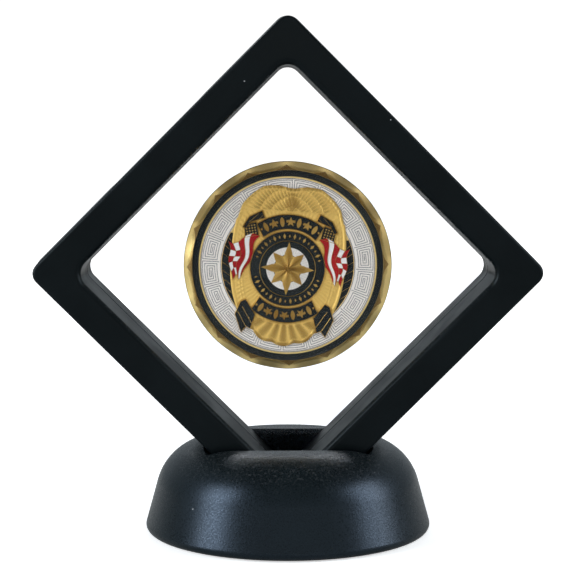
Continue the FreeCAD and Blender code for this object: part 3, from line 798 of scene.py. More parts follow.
def level_at(top: float) -> Height:
    """A flat top at one height."""
    return lambda x, y: np.full(np.shape(x), float(top))


def polar(radius: float, degrees: float, centre: Point = (0.0, 0.0)) -> Point:
    """The point at a distance and an angle from a centre."""
    turn = math.radians(degrees)
    return centre[0] + radius * math.cos(turn), centre[1] + radius * math.sin(turn)


def disc(radius: float, steps: int, centre: Point = (0.0, 0.0)) -> list[Point]:
    """Outline of a disc."""
    return [(centre[0] + radius * math.cos(t), centre[1] + radius * math.sin(t))
            for t in np.linspace(0, 2 * math.pi, steps, endpoint=False)]


def moved(points: Sequence[Point], at: Point, tilt: float) -> list[Point]:
    """Outline turned by an angle in radians and moved to a place."""
    return [(at[0] + x * math.cos(tilt) - y * math.sin(tilt),
             at[1] + x * math.sin(tilt) + y * math.cos(tilt)) for x, y in points]


def arc(radius: float, start: float, end: float, steps: int, centre: Point = (0.0, 0.0)
        ) -> list[Point]:
    """Points along an arc.

    Args:
        radius: The arc's radius.
        start: First angle in degrees.
        end: Last angle in degrees.
        steps: Number of points.
        centre: Middle of the arc.

    Returns:
        The points.
    """
    turn = np.radians(np.linspace(start, end, steps))
    return [(centre[0] + radius * math.cos(t), centre[1] + radius * math.sin(t)) for t in turn]


def mirrored(points: Sequence[Point], side: Side) -> list[Point]:
    """Outline drawn for the right-hand half, put on the given side."""
    return [(side.value * x, y) for x, y in points]


def dense(points: Sequence[Point], step: float, closed: bool = True) -> list[Point]:
    """Outline with its long edges divided.

    Args:
        points: Corners of the outline.
        step: Longest edge of the result.
        closed: Whether the outline joins its own start.

    Returns:
        The corners with more points between them.
    """
    ends = [*points[1:], points[0]] if closed else points[1:]
    result = []
    for (x0, y0), (x1, y1) in zip(points, ends):
        count = max(1, math.ceil(math.hypot(x1 - x0, y1 - y0) / step))
        result += [(x0 + (x1 - x0) * i / count, y0 + (y1 - y0) * i / count)
                   for i in range(count)]
    return result if closed else [*result, points[-1]]


# ---------------------------------------------------------------------------------------------
# Coin
# ---------------------------------------------------------------------------------------------


@dataclass(frozen=True)
class BadgeRelief:
    """Outline and relief of the badge, round the coin's centre. Sizes in millimetres."""

    width: float = 11.0
    height: float = 15.6
    power_above: float = 3.0
    power_below: float = 2.1
    border: float = 0.16
    dome: float = 0.06
    crest_foot: float = 10.1
    feather_root: float = 7.6
    feather_start: float = 2.2
    feather_tier: float = 1.9
    knot_height: float = 12.0
    fan_foot: float = 11.2
    fan_half: float = 6.6
    fan_root: float = 8.2
    grooves: tuple[float, float] = (1.7, 2.3)
    groove_width: float = 0.11

    def radius(self, angle: np.ndarray) -> np.ndarray:
        """Outline of the badge: fuller above, with two lobes, and scalloped below.

        Args:
            angle: Angle round the coin, in radians.

        Returns:
            The outline's distance from the centre.
        """
        power = np.where(np.sin(angle) > 0, self.power_above, self.power_below)
        span = (np.abs(np.cos(angle)) / self.width) ** power + (
            np.abs(np.sin(angle)) / self.height) ** power
        radius = span ** (-1 / power)
        up = (np.degrees(angle) - 90 + 180) % 360 - 180
        down = (np.degrees(angle) + 90 + 180) % 360 - 180
        radius -= 0.75 * np.exp(-(up / 7.0) ** 2)
        radius -= 0.22 * np.abs(np.sin(np.radians(up * 9))) * (np.abs(up) < 50)
        radius -= 0.5 * (1 - np.abs(np.cos(np.radians(down * 11)))) * (np.abs(down) < 41)
        return radius

    def half_width(self, y: float, power: float) -> float:
        """Half the width of the badge at a height, for one roundness of its outline."""
        share = min(abs(y) / self.height, 1)
        return self.width * (1 - share ** power) ** (1 / power)

    def crest(self, x: np.ndarray, y: np.ndarray) -> tuple[np.ndarray, np.ndarray]:
        """Feathered crest at the top of the badge.

        Args:
            x: Distance right of the coin's centre.
            y: Distance above it.

        Returns:
            Where the crest is, from 0 to 1, and its relief there.
        """
        sides = 0.3 * np.maximum(np.abs(x) - 7.6, 0) ** 2
        mask = np.clip((y - self.crest_foot + sides) / 0.5, 0, 1)
        root = np.arctan2(np.abs(x) + 1.2, y - self.feather_root)
        reach = np.hypot(np.abs(x) + 1.2, y - self.feather_root)
        tier = np.clip(np.floor((reach - self.feather_start) / self.feather_tier), 0, 3)
        fall = (reach - self.feather_start) / self.feather_tier - tier
        quill = np.abs((root * (6 + 2.5 * tier) + 0.5 * tier) % 1.0 - 0.5) * 2
        plume = 0.20 - 0.10 * np.clip(fall, 0, 1) ** 2 - 0.09 * quill ** 3
        knot = np.clip(1.6 - np.hypot(x, (y - self.knot_height) * 0.8), 0, 1) * 0.14
        return mask, plume + knot

    def fan(self, x: np.ndarray, y: np.ndarray) -> tuple[np.ndarray, np.ndarray]:
        """Shell-like fan at the foot of the badge.

        Args:
            x: Distance right of the coin's centre.
            y: Distance above it.

        Returns:
            Where the fan is, from 0 to 1, and its relief there.
        """
        mask = np.clip((-y - self.fan_foot + 0.04 * x ** 2) / 0.4, 0, 1) * np.clip(
            (self.fan_half - np.abs(x)) / 0.5, 0, 1)
        spread = np.arctan2(x, -(y + self.fan_root))
        return mask, 0.10 + 0.12 * np.abs(np.cos(spread * 9))

    def over_field(self, x: np.ndarray, y: np.ndarray) -> np.ndarray:
        """Height of the badge over the coin's field.

        Args:
            x: Distance right of the coin's centre.
            y: Distance above it.

        Returns:
            The height.
        """
        angle = np.arctan2(y, x)
        edge = self.radius(angle)
        share = np.hypot(x, y) / edge
        depth = (1 - share) * edge
        height = self.border + self.dome * (1 - share ** 2)
        height += 0.10 * np.exp(-((depth - 0.3) / 0.2) ** 2)
        height -= 0.04 * np.exp(-((depth - 0.75) / 0.16) ** 2)
        crest, plume = self.crest(x, y)
        fan, shell = self.fan(x, y)
        height += crest * plume
        height += fan * shell
        flat = (1 - crest) * (1 - fan)
        rays = 0.03 * np.cos(angle * 90) * np.clip((share - 0.3) * 4, 0, 1)
        height += flat * rays * (depth > 0.9)
        for inset in self.grooves:
            line = np.exp(-((depth - inset) / self.groove_width) ** 2)
            height += flat * 0.08 * line * (np.abs(y) < 9)
        return height


@dataclass
class Coin:
    """Struck coin: gold rim and badge, silver key band, enamel fields. Sizes in millimetres."""

    finishes: Finishes
    turn: float = 4.0
    field_depth: float = 0.55
    rim_inner: float = 18.3
    scoops: int = 16
    scoop_start: float = 18.45
    scoop_reach: float = 0.90
    scoop_drop: float = 0.70
    scoop_phase: float = -6.5
    crest_start: float = 0.43
    crest_slope: float = 0.38
    ridge_inner: float = 16.8
    ridge_outer: float = 17.14
    key_inner: float = 12.75
    key_units: int = 20
    key_line: float = 0.15
    key_pitch: float = 0.43
    key_gap: float = 0.40
    key_margin: float = 0.42
    relief: BadgeRelief = BadgeRelief()
    badge_step: float = 0.15
    middle: Point = (0.0, -0.6)
    ring_outer: float = 7.2
    ring_inner: float = 5.35
    ribbon_inner: float = 7.65
    ribbon_outer: float = 10.4
    ribbon_spread: float = 38.0
    line: float = 0.16
    plain_stripes: int = 3
    fold_checks: int = 5
    check_gap: float = 0.02
    stripes: int = 5
    ornaments: int = 7
    edge_bevel: float = 0.12
    ridge_height: float = 0.26
    root: float = 0.05
    inlay_foot: float = 0.1
    wedge_top: float = 0.13
    ribbon_top: float = 0.42
    inlay_top: float = 0.36
    leaf_ring: float = 11.2
    leaf_length: float = 2.9
    laurel_top: float = 0.44
    back_radius: float = 16.6
    back_rim: float = 15.9
    back_boss: float = 6.2
    ray_height: float = 0.22
    star_points: tuple[float, float, float] = (5.1, 4.2, 2.5)
    star_rise: float = 0.34
    disc_ring: Point = (2.7, 4.1)

    def __post_init__(self) -> None:
        """Read the coin's place and size from the frame."""
        low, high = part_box("coin_blank")
        self.centre = (low + high) / 2
        self.radius = (high.x - low.x) / 2 / MM
        self.half = (high.y - low.y) / 2 / MM
        self.field = self.half - self.field_depth
        self.foot = self.field + self.inlay_foot

    def placer(self, face: Face) -> Place:
        """A function that puts coin points, in millimetres, into the object's frame.

        Args:
            face: The face that the points belong to.

        Returns:
            The function. Its points are (right, up, height over the coin's middle plane).
        """
        tilt = math.radians(self.turn) * -face.value
        mirror = -face.value

        def place(points: np.ndarray) -> np.ndarray:
            """Turn, mirror and move the points."""
            x = points[:, 0] * math.cos(tilt) + points[:, 1] * math.sin(tilt)
            z = points[:, 1] * math.cos(tilt) - points[:, 0] * math.sin(tilt)
            rows = np.column_stack([mirror * x, face.value * points[:, 2], z]) * MM
            return rows + np.array(self.centre)

        return place

    def middle_placer(self) -> Place:
        """A function that puts points from the middle of the design onto the front face."""
        place = self.placer(Face.FRONT)
        return lambda points: place(points + np.array([*self.middle, 0.0]))

    def finish(self, shape: Shape, name: str, finish: str, slot: str, *nodes: str,
               sharp_angle: float = 32.0) -> bpy.types.Object:
        """Make a piece of the coin from its shape.

        Args:
            shape: The gathered shape.
            name: The piece's name.
            finish: Its finish.
            slot: Not used.
            nodes: CAD nodes that it stands for.
            sharp_angle: Edges that bend more than this many degrees stay crisp.

        Returns:
            The piece.
        """
        piece = shape.object(name, sharp_angle)
        self.finishes.dress(piece, finish)
        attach(piece, "rear_half")
        if nodes:
            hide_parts(*nodes)
        log.info("coin piece %s: %d faces", name, len(piece.data.polygons))
        return piece

    def scoop_fall(self, radius: np.ndarray, angle: np.ndarray) -> np.ndarray:
        """Fall of the wave-cut rim.

        Args:
            radius: Distance from the coin's centre.
            angle: Angle round the coin, in radians.

        Returns:
            How far the rim lies under its top there.
        """
        pitch = 2 * math.pi / self.scoops
        share = np.abs(((angle - math.radians(self.scoop_phase)) / pitch + 0.5) % 1.0 - 0.5) * 2
        rise = np.clip((share - self.crest_start) / (1 - self.crest_start), 0, 1)
        start = self.scoop_start + self.scoop_reach * rise
        depth = self.scoop_drop * (1 - 0.75 * share ** 2)
        past = np.clip((radius - start) / (self.radius - self.scoop_start), 0, 1)
        crest = np.clip(radius, self.scoop_start, start) - self.scoop_start
        return depth * past ** 0.9 + self.crest_slope * crest * share

    def blank(self) -> None:
        """Gold body with its wave-cut rim on both faces."""
        shape = Shape()
        turns = self.scoops * 26
        angle = np.linspace(0, 2 * math.pi, turns, endpoint=False)
        flat, ridge = self.field, self.field + self.ridge_height
        steps = ((4.0, flat), (8.0, flat), (12.0, flat), (self.ridge_inner - 0.02, flat),
                 (self.ridge_inner + 0.05, ridge), (self.ridge_outer - 0.05, ridge),
                 (self.ridge_outer + 0.02, flat), (self.rim_inner, flat),
                 (self.rim_inner + 0.06, self.half))
        outer = np.linspace(self.scoop_start, self.radius - self.edge_bevel, 26)
        rings: list[np.ndarray] = []
        for face in (Face.FRONT, Face.REAR):
            rows = [(r, np.full(turns, level)) for r, level in steps]
            for r in outer:
                rows.append((r, self.half - self.scoop_fall(np.full(turns, r), angle)))
            fall = self.scoop_fall(np.full(turns, self.radius), angle)
            rows.append((self.radius, self.half - fall - self.edge_bevel))
            place = self.placer(face)
            rings.append([place(np.column_stack([r * np.cos(angle), r * np.sin(angle), h]))
                          for r, h in rows])
        front, rear = rings
        count = len(front)
        loops = front + [np.array(r) for r in reversed(self.aligned(front, rear))]
        points = np.vstack(loops)
        faces = []
        for i in range(2 * count - 1):
            for k in range(turns):
                a, b = i * turns + k, i * turns + (k + 1) % turns
                faces.append((b, a, a + turns, b + turns))
        caps = [self.placer(face)(np.array([[0, 0, flat]])) for face in Face]
        last = (2 * count - 1) * turns
        total = len(points)
        faces += [(k, (k + 1) % turns, total) for k in range(turns)]
        faces += [(last + (k + 1) % turns, last + k, total + 1) for k in range(turns)]
        shape.add(np.vstack([points, *caps]), faces)
        self.finish(shape, "coin_body", "rim_gold", "coin_gold", "coin_blank", sharp_angle=24)

    def crests(self) -> None:
        """Small facets between the bright cuts of the rim, rougher and in a gold painted darker
        as shade, on both faces.
        """
        shape = Shape()
        pitch = 360 / self.scoops
        half_turn = pitch / 2 * (1 - self.crest_start)
        foot, tip = self.scoop_start - 0.06, self.scoop_start + self.scoop_reach
        for face in (Face.FRONT, Face.REAR):
            for i in range(self.scoops):
                middle = self.scoop_phase + (i + 0.5) * pitch
                outline = arc(foot, middle - half_turn, middle + half_turn, 9)
                outline += [polar(r, middle + turn) for r, turn in (
                    (foot + 0.3, 0.5 * half_turn), (tip, 0.0), (foot + 0.3, -0.5 * half_turn))]
                raise_outline(shape, outline, self.half - 0.45, self.crest_height,
                              place=self.placer(face))
        self.finish(shape, "rim_crests", "crest_gold_painted_shade", "coin_gold")

    def crest_height(self, x: np.ndarray, y: np.ndarray) -> np.ndarray:
        """Height of the rim's dull facets over the coin's middle plane."""
        return self.half + 0.02 - 0.8 * self.crest_slope * (np.hypot(x, y) - self.scoop_start)

    def aligned(self, front: list[np.ndarray], rear: list[np.ndarray]) -> list[np.ndarray]:
        """Rear rings with their points in the same order round the coin as the front rings.

        Args:
            front: The front face's rings.
            rear: The rear face's rings.

        Returns:
            The rear rings, turned and reversed to match.
        """
        first = front[-1][0]
        flipped = [ring[::-1] for ring in rear]
        gap = np.hypot(flipped[-1][:, 0] - first[0], flipped[-1][:, 2] - first[2])
        shift = int(np.argmin(gap))
        return [np.roll(ring, -shift, 0) for ring in flipped]

    def enamel_ring(self) -> None:
        """Black enamel ring between the rim and the thin ridge, on both faces."""
        shape = Shape()
        inner, outer = self.ridge_outer + 0.02, self.rim_inner + 0.02
        for face in (Face.FRONT, Face.REAR):
            profile = [(inner, self.field - self.root)]
            for share in np.linspace(0, 1, 7):
                sag = 0.05 * (2 * share - 1) ** 2
                profile.append((inner + share * (outer - inner), self.field + 0.17 + sag))
            profile.append((outer, self.field - self.root))
            spin(shape, profile[::-1], 256, self.placer(face))
        self.finish(shape, "enamel_outer_ring", "enamel_black", "enamel_black", "enamel_ring")

    def key_band(self) -> None:
        """Silver band with a square-spiral key pattern raised on it."""
        band, lines = Shape(), Shape()
        place = self.placer(Face.FRONT)
        top = self.field + 0.05
        inner, outer = self.key_inner, self.ridge_inner
        ring(band, inner, outer, self.field - self.root, top, 256, place)
        pitch = 2 * math.pi / self.key_units
        middle = (inner + outer) / 2
        wide = pitch * middle - self.key_gap
        tall = outer - inner - 2 * self.key_margin
        for unit in range(self.key_units):
            path = []
            for across, up in dense(self.square_spiral(wide, tall), 0.4, closed=False):
                r = inner + self.key_margin + up
                turn = unit * pitch + (across + self.key_gap / 2) / middle
                path.append((r * math.cos(turn), r * math.sin(turn)))
            raise_line(lines, path, self.key_line, top - 0.02, top + 0.06, place)
        for r in (inner + 0.14, outer - 0.14):
            raise_line(lines, arc(r, 0, 358.5, 240), self.key_line, top - 0.02, top + 0.06, place,
                       closed=True)
        self.finish(band, "key_band", "field_silver", "coin_silver", "key_ring")
        # The key lines take the darker silver, a painted shade along them.
        self.finish(lines, "key_lines", "line_silver_painted_shade", "coin_silver")

    def square_spiral(self, wide: float, tall: float) -> list[Point]:
        """Line of one unit of the key pattern.

        Args:
            wide: The unit's width.
            tall: Its height.

        Returns:
            The corners of a line that winds inwards.
        """
        path = [(0.0, 0.0), (0.0, tall), (wide, tall)]
        inset = self.key_pitch
        while 2 * inset < tall - self.key_pitch:
            near, far, top = inset, wide - inset, tall - inset
            path += [(far + self.key_pitch, near), (near, near), (near, top), (far, top)]
            inset += self.key_pitch
        middle = tall / 2
        return [*path, (path[-1][0], middle), (inset, middle)]

    def badge(self) -> None:
        """Gold badge with feathered crest, rays and a shell-like foot."""
        shape = Shape()
        angle = np.linspace(-math.pi, math.pi, 520, endpoint=False)
        r = self.relief.radius(angle)
        outline = list(zip(r * np.cos(angle), r * np.sin(angle)))
        raise_outline(shape, outline, self.field - self.root,
                      lambda x, y: self.field + self.relief.over_field(x, y), self.badge_step,
                      self.placer(Face.FRONT))
        self.finish(shape, "badge", "relief_gold", "coin_gold", "badge_relief", sharp_angle=50)

    def wedges(self) -> None:
        """Black crescents beside the badge, crossed by thin gold lines."""
        enamel, lines = Shape(), Shape()
        place = self.placer(Face.FRONT)
        top = self.field + self.wedge_top
        for side in Side:
            outer = arc(self.key_inner - 0.05, 26, -43, 30)
            inner = []
            for _, y in reversed(outer):
                width = self.relief.half_width(y, self.relief.power_above if y > 0
                                               else self.relief.power_below) - 0.12
                inner.append((min(width, self.key_inner - 0.12), y))
            outline = mirrored([*outer, *inner], side)
            raise_outline(enamel, outline, self.field - 0.04, level_at(top), place=place)
            raise_line(lines, mirrored(outer, side), self.line * 0.7, self.field, top + 0.06,
                       place)
            for step in range(7):
                y = 3.6 - 1.6 * step
                start = self.relief.half_width(y, 2.3)
                end_y = y + 1.1
                end = math.sqrt(max(self.key_inner ** 2 - end_y ** 2, 0)) - 0.1
                if end > start:
                    raise_line(lines, mirrored([(start - 0.1, y), (end, end_y)], side),
                               self.line * 0.55, self.field, top + 0.05, place)
        self.finish(enamel, "wedge_enamel", "enamel_black", "enamel_black", "enamel_wedges")
        self.finish(lines, "wedge_lines", "relief_gold", "coin_gold")

    def ribbon_outlines(self) -> tuple[list[list[Point]], list[list[Point]]]:
        """Outlines of the two ribbons and of their folded tails.

        Returns:
            The ribbons, and the tails.
        """
        spread, centre = self.ribbon_spread, self.middle
        ribbons = []
        for way in (90, -90):
            outer = arc(self.ribbon_outer, way - spread, way + spread, 41, centre)
            inner = arc(self.ribbon_inner, way + spread + 3, way - spread - 3, 41, centre)
            ribbons.append([*outer, *inner])
        upper = [(5.0, 8.9), (5.6, 10.2), (8.0, 8.9), (9.1, 6.9), (8.5, 6.6), (7.7, 7.9)]
        lower = [(5.6, -9.9), (7.6, -7.0), (8.6, -7.5), (9.5, -10.0), (8.1, -13.4), (7.2, -12.2),
                 (6.4, -12.6)]
        tails = [mirrored(tail, side) for side in Side for tail in (upper, lower)]
        return ribbons, tails

    def ribbons(self) -> None:
        """Black ribbons with gold edges, creases and a row of ornaments."""
        enamel, gold = Shape(), Shape()
        place = self.placer(Face.FRONT)
        level = self.field + self.ribbon_top
        bands, tails = self.ribbon_outlines()
        for outline, top in [*((b, level) for b in bands), *((t, level - 0.02) for t in tails)]:
            raise_outline(enamel, outline, self.foot, level_at(top), place=place)
            raise_line(gold, outline, self.line, self.foot, top + 0.08, place, closed=True)
        for side in Side:
            for crease in (((8.2, -8.4), (6.2, -11.6)), ((9.0, -9.4), (7.2, -12.4)),
                           ((6.2, 9.6), (7.9, 7.9)), ((5.4, 9.3), (6.1, 8.5))):
                raise_line(gold, mirrored(crease, side), self.line * 0.6, level - 0.1,
                           level + 0.02, place)
        middle = (self.ribbon_inner + self.ribbon_outer) / 2
        count = self.ornaments
        for way in (90, -90):
            for i in range(count):
                turn = way + (i - (count - 1) / 2) * 2 * (self.ribbon_spread - 7) / (count - 1)
                self.ornament(gold, middle, turn, i % 2 == 0, level)
        self.finish(enamel, "ribbon_enamel", "enamel_black", "enamel_black", "enamel_banners")
        self.finish(gold, "ribbon_gold", "relief_gold", "coin_gold")

    def ornament(self, shape: Shape, radius: float, turn: float, leafy: bool, level: float
                 ) -> None:
        """Raise one ornament of a ribbon.

        Args:
            shape: Where it is added.
            radius: Its distance from the middle of the design.
            turn: Its angle in degrees.
            leafy: Whether it is a leaf between beads, or else a small star.
            level: Height of the enamel round it.
        """
        place = self.placer(Face.FRONT)
        tilt = math.radians(turn - 90)
        at = polar(radius, turn, self.middle)
        long, short = 0.95, 0.42
        if leafy:
            leaf = [(short * math.sin(t) * abs(math.sin(t)) ** 0.4, long * math.cos(t))
                    for t in np.linspace(0, 2 * math.pi, 24, endpoint=False)]
            forms = [(leaf, 0.09), *((disc(0.2, 10, (way * long, 0.0)), 0.08) for way in (-1, 1))]
        else:
            reach = [long if i % 2 == 0 else short for i in range(10)]
            forms = [([(r * math.sin(i * math.pi / 5), r * math.cos(i * math.pi / 5))
                       for i, r in enumerate(reach)], 0.09)]
        for outline, rise in forms:
            raise_outline(shape, moved(outline, at, tilt), level - self.root,
                          level_at(level + rise), place=place)

    def roundel(self) -> None:
        """Black ring round the middle, edged in gold and set with lozenges and beads."""
        enamel, gold = Shape(), Shape()
        place = self.middle_placer()
        level = self.field + self.inlay_top
        ring(enamel, self.ring_inner, self.ring_outer, self.foot, level, 160, place)
        for r in (self.ring_inner, self.ring_outer):
            raise_line(gold, arc(r, 0, 357, 120), self.line, self.foot, level + 0.08, place,
                       closed=True)
        middle = (self.ring_inner + self.ring_outer) / 2
        for i in range(40):
            turn = i * 9.0
            if abs(abs((turn + 90) % 360 - 180) - 90) < 14:
                continue
            size = 0.48 if i % 2 else 0.28
            lozenge = [(middle + size * 1.15, turn), (middle, turn + size * 5.2),
                       (middle - size * 1.15, turn), (middle, turn - size * 5.2)]
            raise_outline(gold, [polar(r, t) for r, t in lozenge], level - 0.04,
                          level_at(level + 0.08), place=place)
        self.finish(enamel, "roundel_enamel", "enamel_black", "enamel_black", "enamel_roundel")
        self.finish(gold, "roundel_gold", "relief_gold", "coin_gold")

    def star_height(self, x: np.ndarray, y: np.ndarray) -> np.ndarray:
        """Relief of the faceted compass star.

        Args:
            x: Distance right of the star's middle.
            y: Distance above it.

        Returns:
            Its height over the coin's middle plane.
        """
        angle = np.degrees(np.arctan2(y, x)) % 45
        across = np.minimum(angle, 45 - angle) / 22.5
        reach = np.hypot(x, y)
        slope = np.clip(1 - reach / 5.6, 0.1, 1)
        return self.field + self.star_rise + self.star_rise * (1 - across) * slope

    def centre_relief(self) -> None:
        """Compass star over a ribbed silver disc on black enamel."""
        gold, silver, black = Shape(), Shape(), Shape()
        place = self.middle_placer()
        ring(black, 0.01, self.ring_inner, self.foot, self.field + 0.3, 96, place)
        ring(silver, *self.disc_ring, self.field + 0.2, self.field + self.inlay_top, 96, place)
        for i in range(48):
            raise_line(silver, [polar(r, i * 7.5) for r in (2.75, 4.05)], 0.09,
                       self.field + 0.34, self.field + 0.42, place)
        long, short, notch = self.star_points
        star = [polar(long if i % 4 == 0 else short if i % 2 == 0 else notch, 90 + i * 22.5)
                for i in range(16)]
        raise_outline(gold, dense(star, 0.2), self.field + 0.2, self.star_height, 0.16, place)
        self.finish(black, "centre_enamel", "enamel_black", "enamel_black")
        self.finish(silver, "centre_silver", "field_silver", "coin_silver")
        self.finish(gold, "centre_star", "relief_gold", "coin_gold", "centre_relief",
                    sharp_angle=15)

    @staticmethod
    def drape_point(along: float, across: float) -> Point:
        """A point of the hanging drape on the right.

        Args:
            along: 0 at its top and 1 at its foot.
            across: 0 at its inner edge and 1 at its outer edge.

        Returns:
            The point.
        """
        top = (5.7 + 6.1 * across, 5.3 - 1.7 * across + 0.7 * math.sin(math.pi * across * 2.2))
        foot = (8.3 + 2.3 * across, -2.7 + 0.7 * math.cos(across * 9.0))
        ease = along ** 0.9
        x = top[0] + (foot[0] - top[0]) * ease
        y = top[1] + (foot[1] - top[1]) * along
        wave = 0.42 * math.sin(2 * math.pi * (1.25 * along + 0.55 * across)) * (1 - 0.4 * along)
        return x + wave, y + 0.5 * wave

    def drapes(self) -> None:
        """Striped drapes in red and white enamel with gold lines between the stripes."""
        red, white, gold, lattice = Shape(), Shape(), Shape(), Shape()
        place = self.placer(Face.FRONT)
        level = self.field + self.inlay_top
        for side in Side:
            for i in range(self.stripes):
                cuts, steps = (1, 25) if i < self.plain_stripes else (self.fold_checks, 7)
                for j in range(cuts):
                    inset = 0.0 if cuts == 1 else self.check_gap
                    along = np.linspace((j + inset) / cuts, (j + 1 - inset) / cuts, steps)
                    near, far = ([self.drape_point(a, across) for a in along]
                                 for across in (i / self.stripes, (i + 1) / self.stripes))
                    outline = mirrored([*near, *far[::-1]], side)
                    colour = red if (i + j) % 2 == 0 else white
                    raise_outline(colour, outline, self.foot, level_at(level), place=place)
                    if j:
                        raise_line(gold, mirrored([near[0], far[0]], side), self.line * 0.5,
                                   self.foot, level + 0.05, place)
            for i in range(self.stripes + 1):
                path = [self.drape_point(a, i / self.stripes) for a in np.linspace(0, 1, 25)]
                raise_line(gold, mirrored(path, side), self.line * 0.6, self.foot,
                           level + 0.06, place)
            patch = [(5.9, 5.5), (6.5, 8.0), (8.9, 7.3), (8.5, 4.9)]
            raise_outline(lattice, mirrored(patch, side), self.foot, level_at(level - 0.04),
                          place=place)
            raise_line(gold, mirrored(patch, side), self.line, self.foot, level + 0.05, place,
                       closed=True)
            corner, right, up = np.array(patch[0]), np.array([2.6, -0.6]), np.array([0.6, 2.5])
            for i in range(1, 5):
                for j in range(1, 5):
                    at = corner + right * i / 5 + up * j / 5
                    raise_outline(gold, mirrored(disc(0.14, 8, at), side), level - 0.08,
                                  level_at(level + 0.03), place=place)
        self.finish(red, "drape_red", "enamel_red", "enamel_red", "enamel_drapes_red")
        self.finish(white, "drape_white", "enamel_white", "enamel_white", "enamel_drapes_white")
        self.finish(lattice, "lattice_enamel", "enamel_black", "enamel_black")
        self.finish(gold, "drape_gold", "relief_gold", "coin_gold")

    def back_height(self, x: np.ndarray, y: np.ndarray) -> np.ndarray:
        """Relief of the coin's back: a sunburst round a plain boss.

        Args:
            x: Distance from the centre, across.
            y: Distance from the centre, up.

        Returns:
            The height over the coin's middle plane.
        """
        reach = np.hypot(x, y)
        angle = np.arctan2(y, x)
        rays = self.ray_height * np.abs(np.cos(angle * 16))
        rays *= np.clip((reach - 6.4) / 2, 0, 1)
        boss = 0.25 * np.clip((self.back_boss - reach) / 0.4, 0, 1)
        rim = 0.12 * np.exp(-((reach - self.back_rim) / 0.3) ** 2)
        rays *= np.clip((self.back_rim - 0.5 - reach) / 0.4, 0, 1)
        return self.field + 0.08 + rays + boss + rim

    def back(self) -> None:
        """Sunburst medallion with a laurel on the coin's back."""
        shape, gold = Shape(), Shape()
        place = self.placer(Face.REAR)
        raise_outline(shape, arc(self.back_radius, 0, 358.8, 300), self.field - self.root,
                      self.back_height, 0.22, place)
        leaf = [(self.leaf_length * s, w) for s, w in (
            (0.05, 0), (0.2, 0.42), (0.45, 0.58), (0.75, 0.36), (1.0, 0.0), (0.75, -0.36),
            (0.45, -0.58), (0.2, -0.42))]
        for side in Side:
            for turn in range(-72, 72, 12):
                for way in (-1, 1):
                    outline = moved(leaf, polar(self.leaf_ring, turn),
                                    math.radians(turn + 90 - way * 35))
                    raise_outline(gold, mirrored(outline, side), self.field + self.root,
                                  level_at(self.field + self.laurel_top), place=place)
        self.finish(shape, "back_sunburst", "field_silver", "coin_silver", sharp_angle=60)
        self.finish(gold, "back_laurel", "relief_gold", "coin_gold")

    def build(self) -> None:
        """Build every piece of the coin."""
        self.blank()
        self.crests()
        self.enamel_ring()
        self.key_band()
        self.badge()
        self.wedges()
        self.ribbons()
        self.roundel()
        self.centre_relief()
        self.drapes()
        self.back()


# ---------------------------------------------------------------------------------------------
# Frame, films and base
# ---------------------------------------------------------------------------------------------


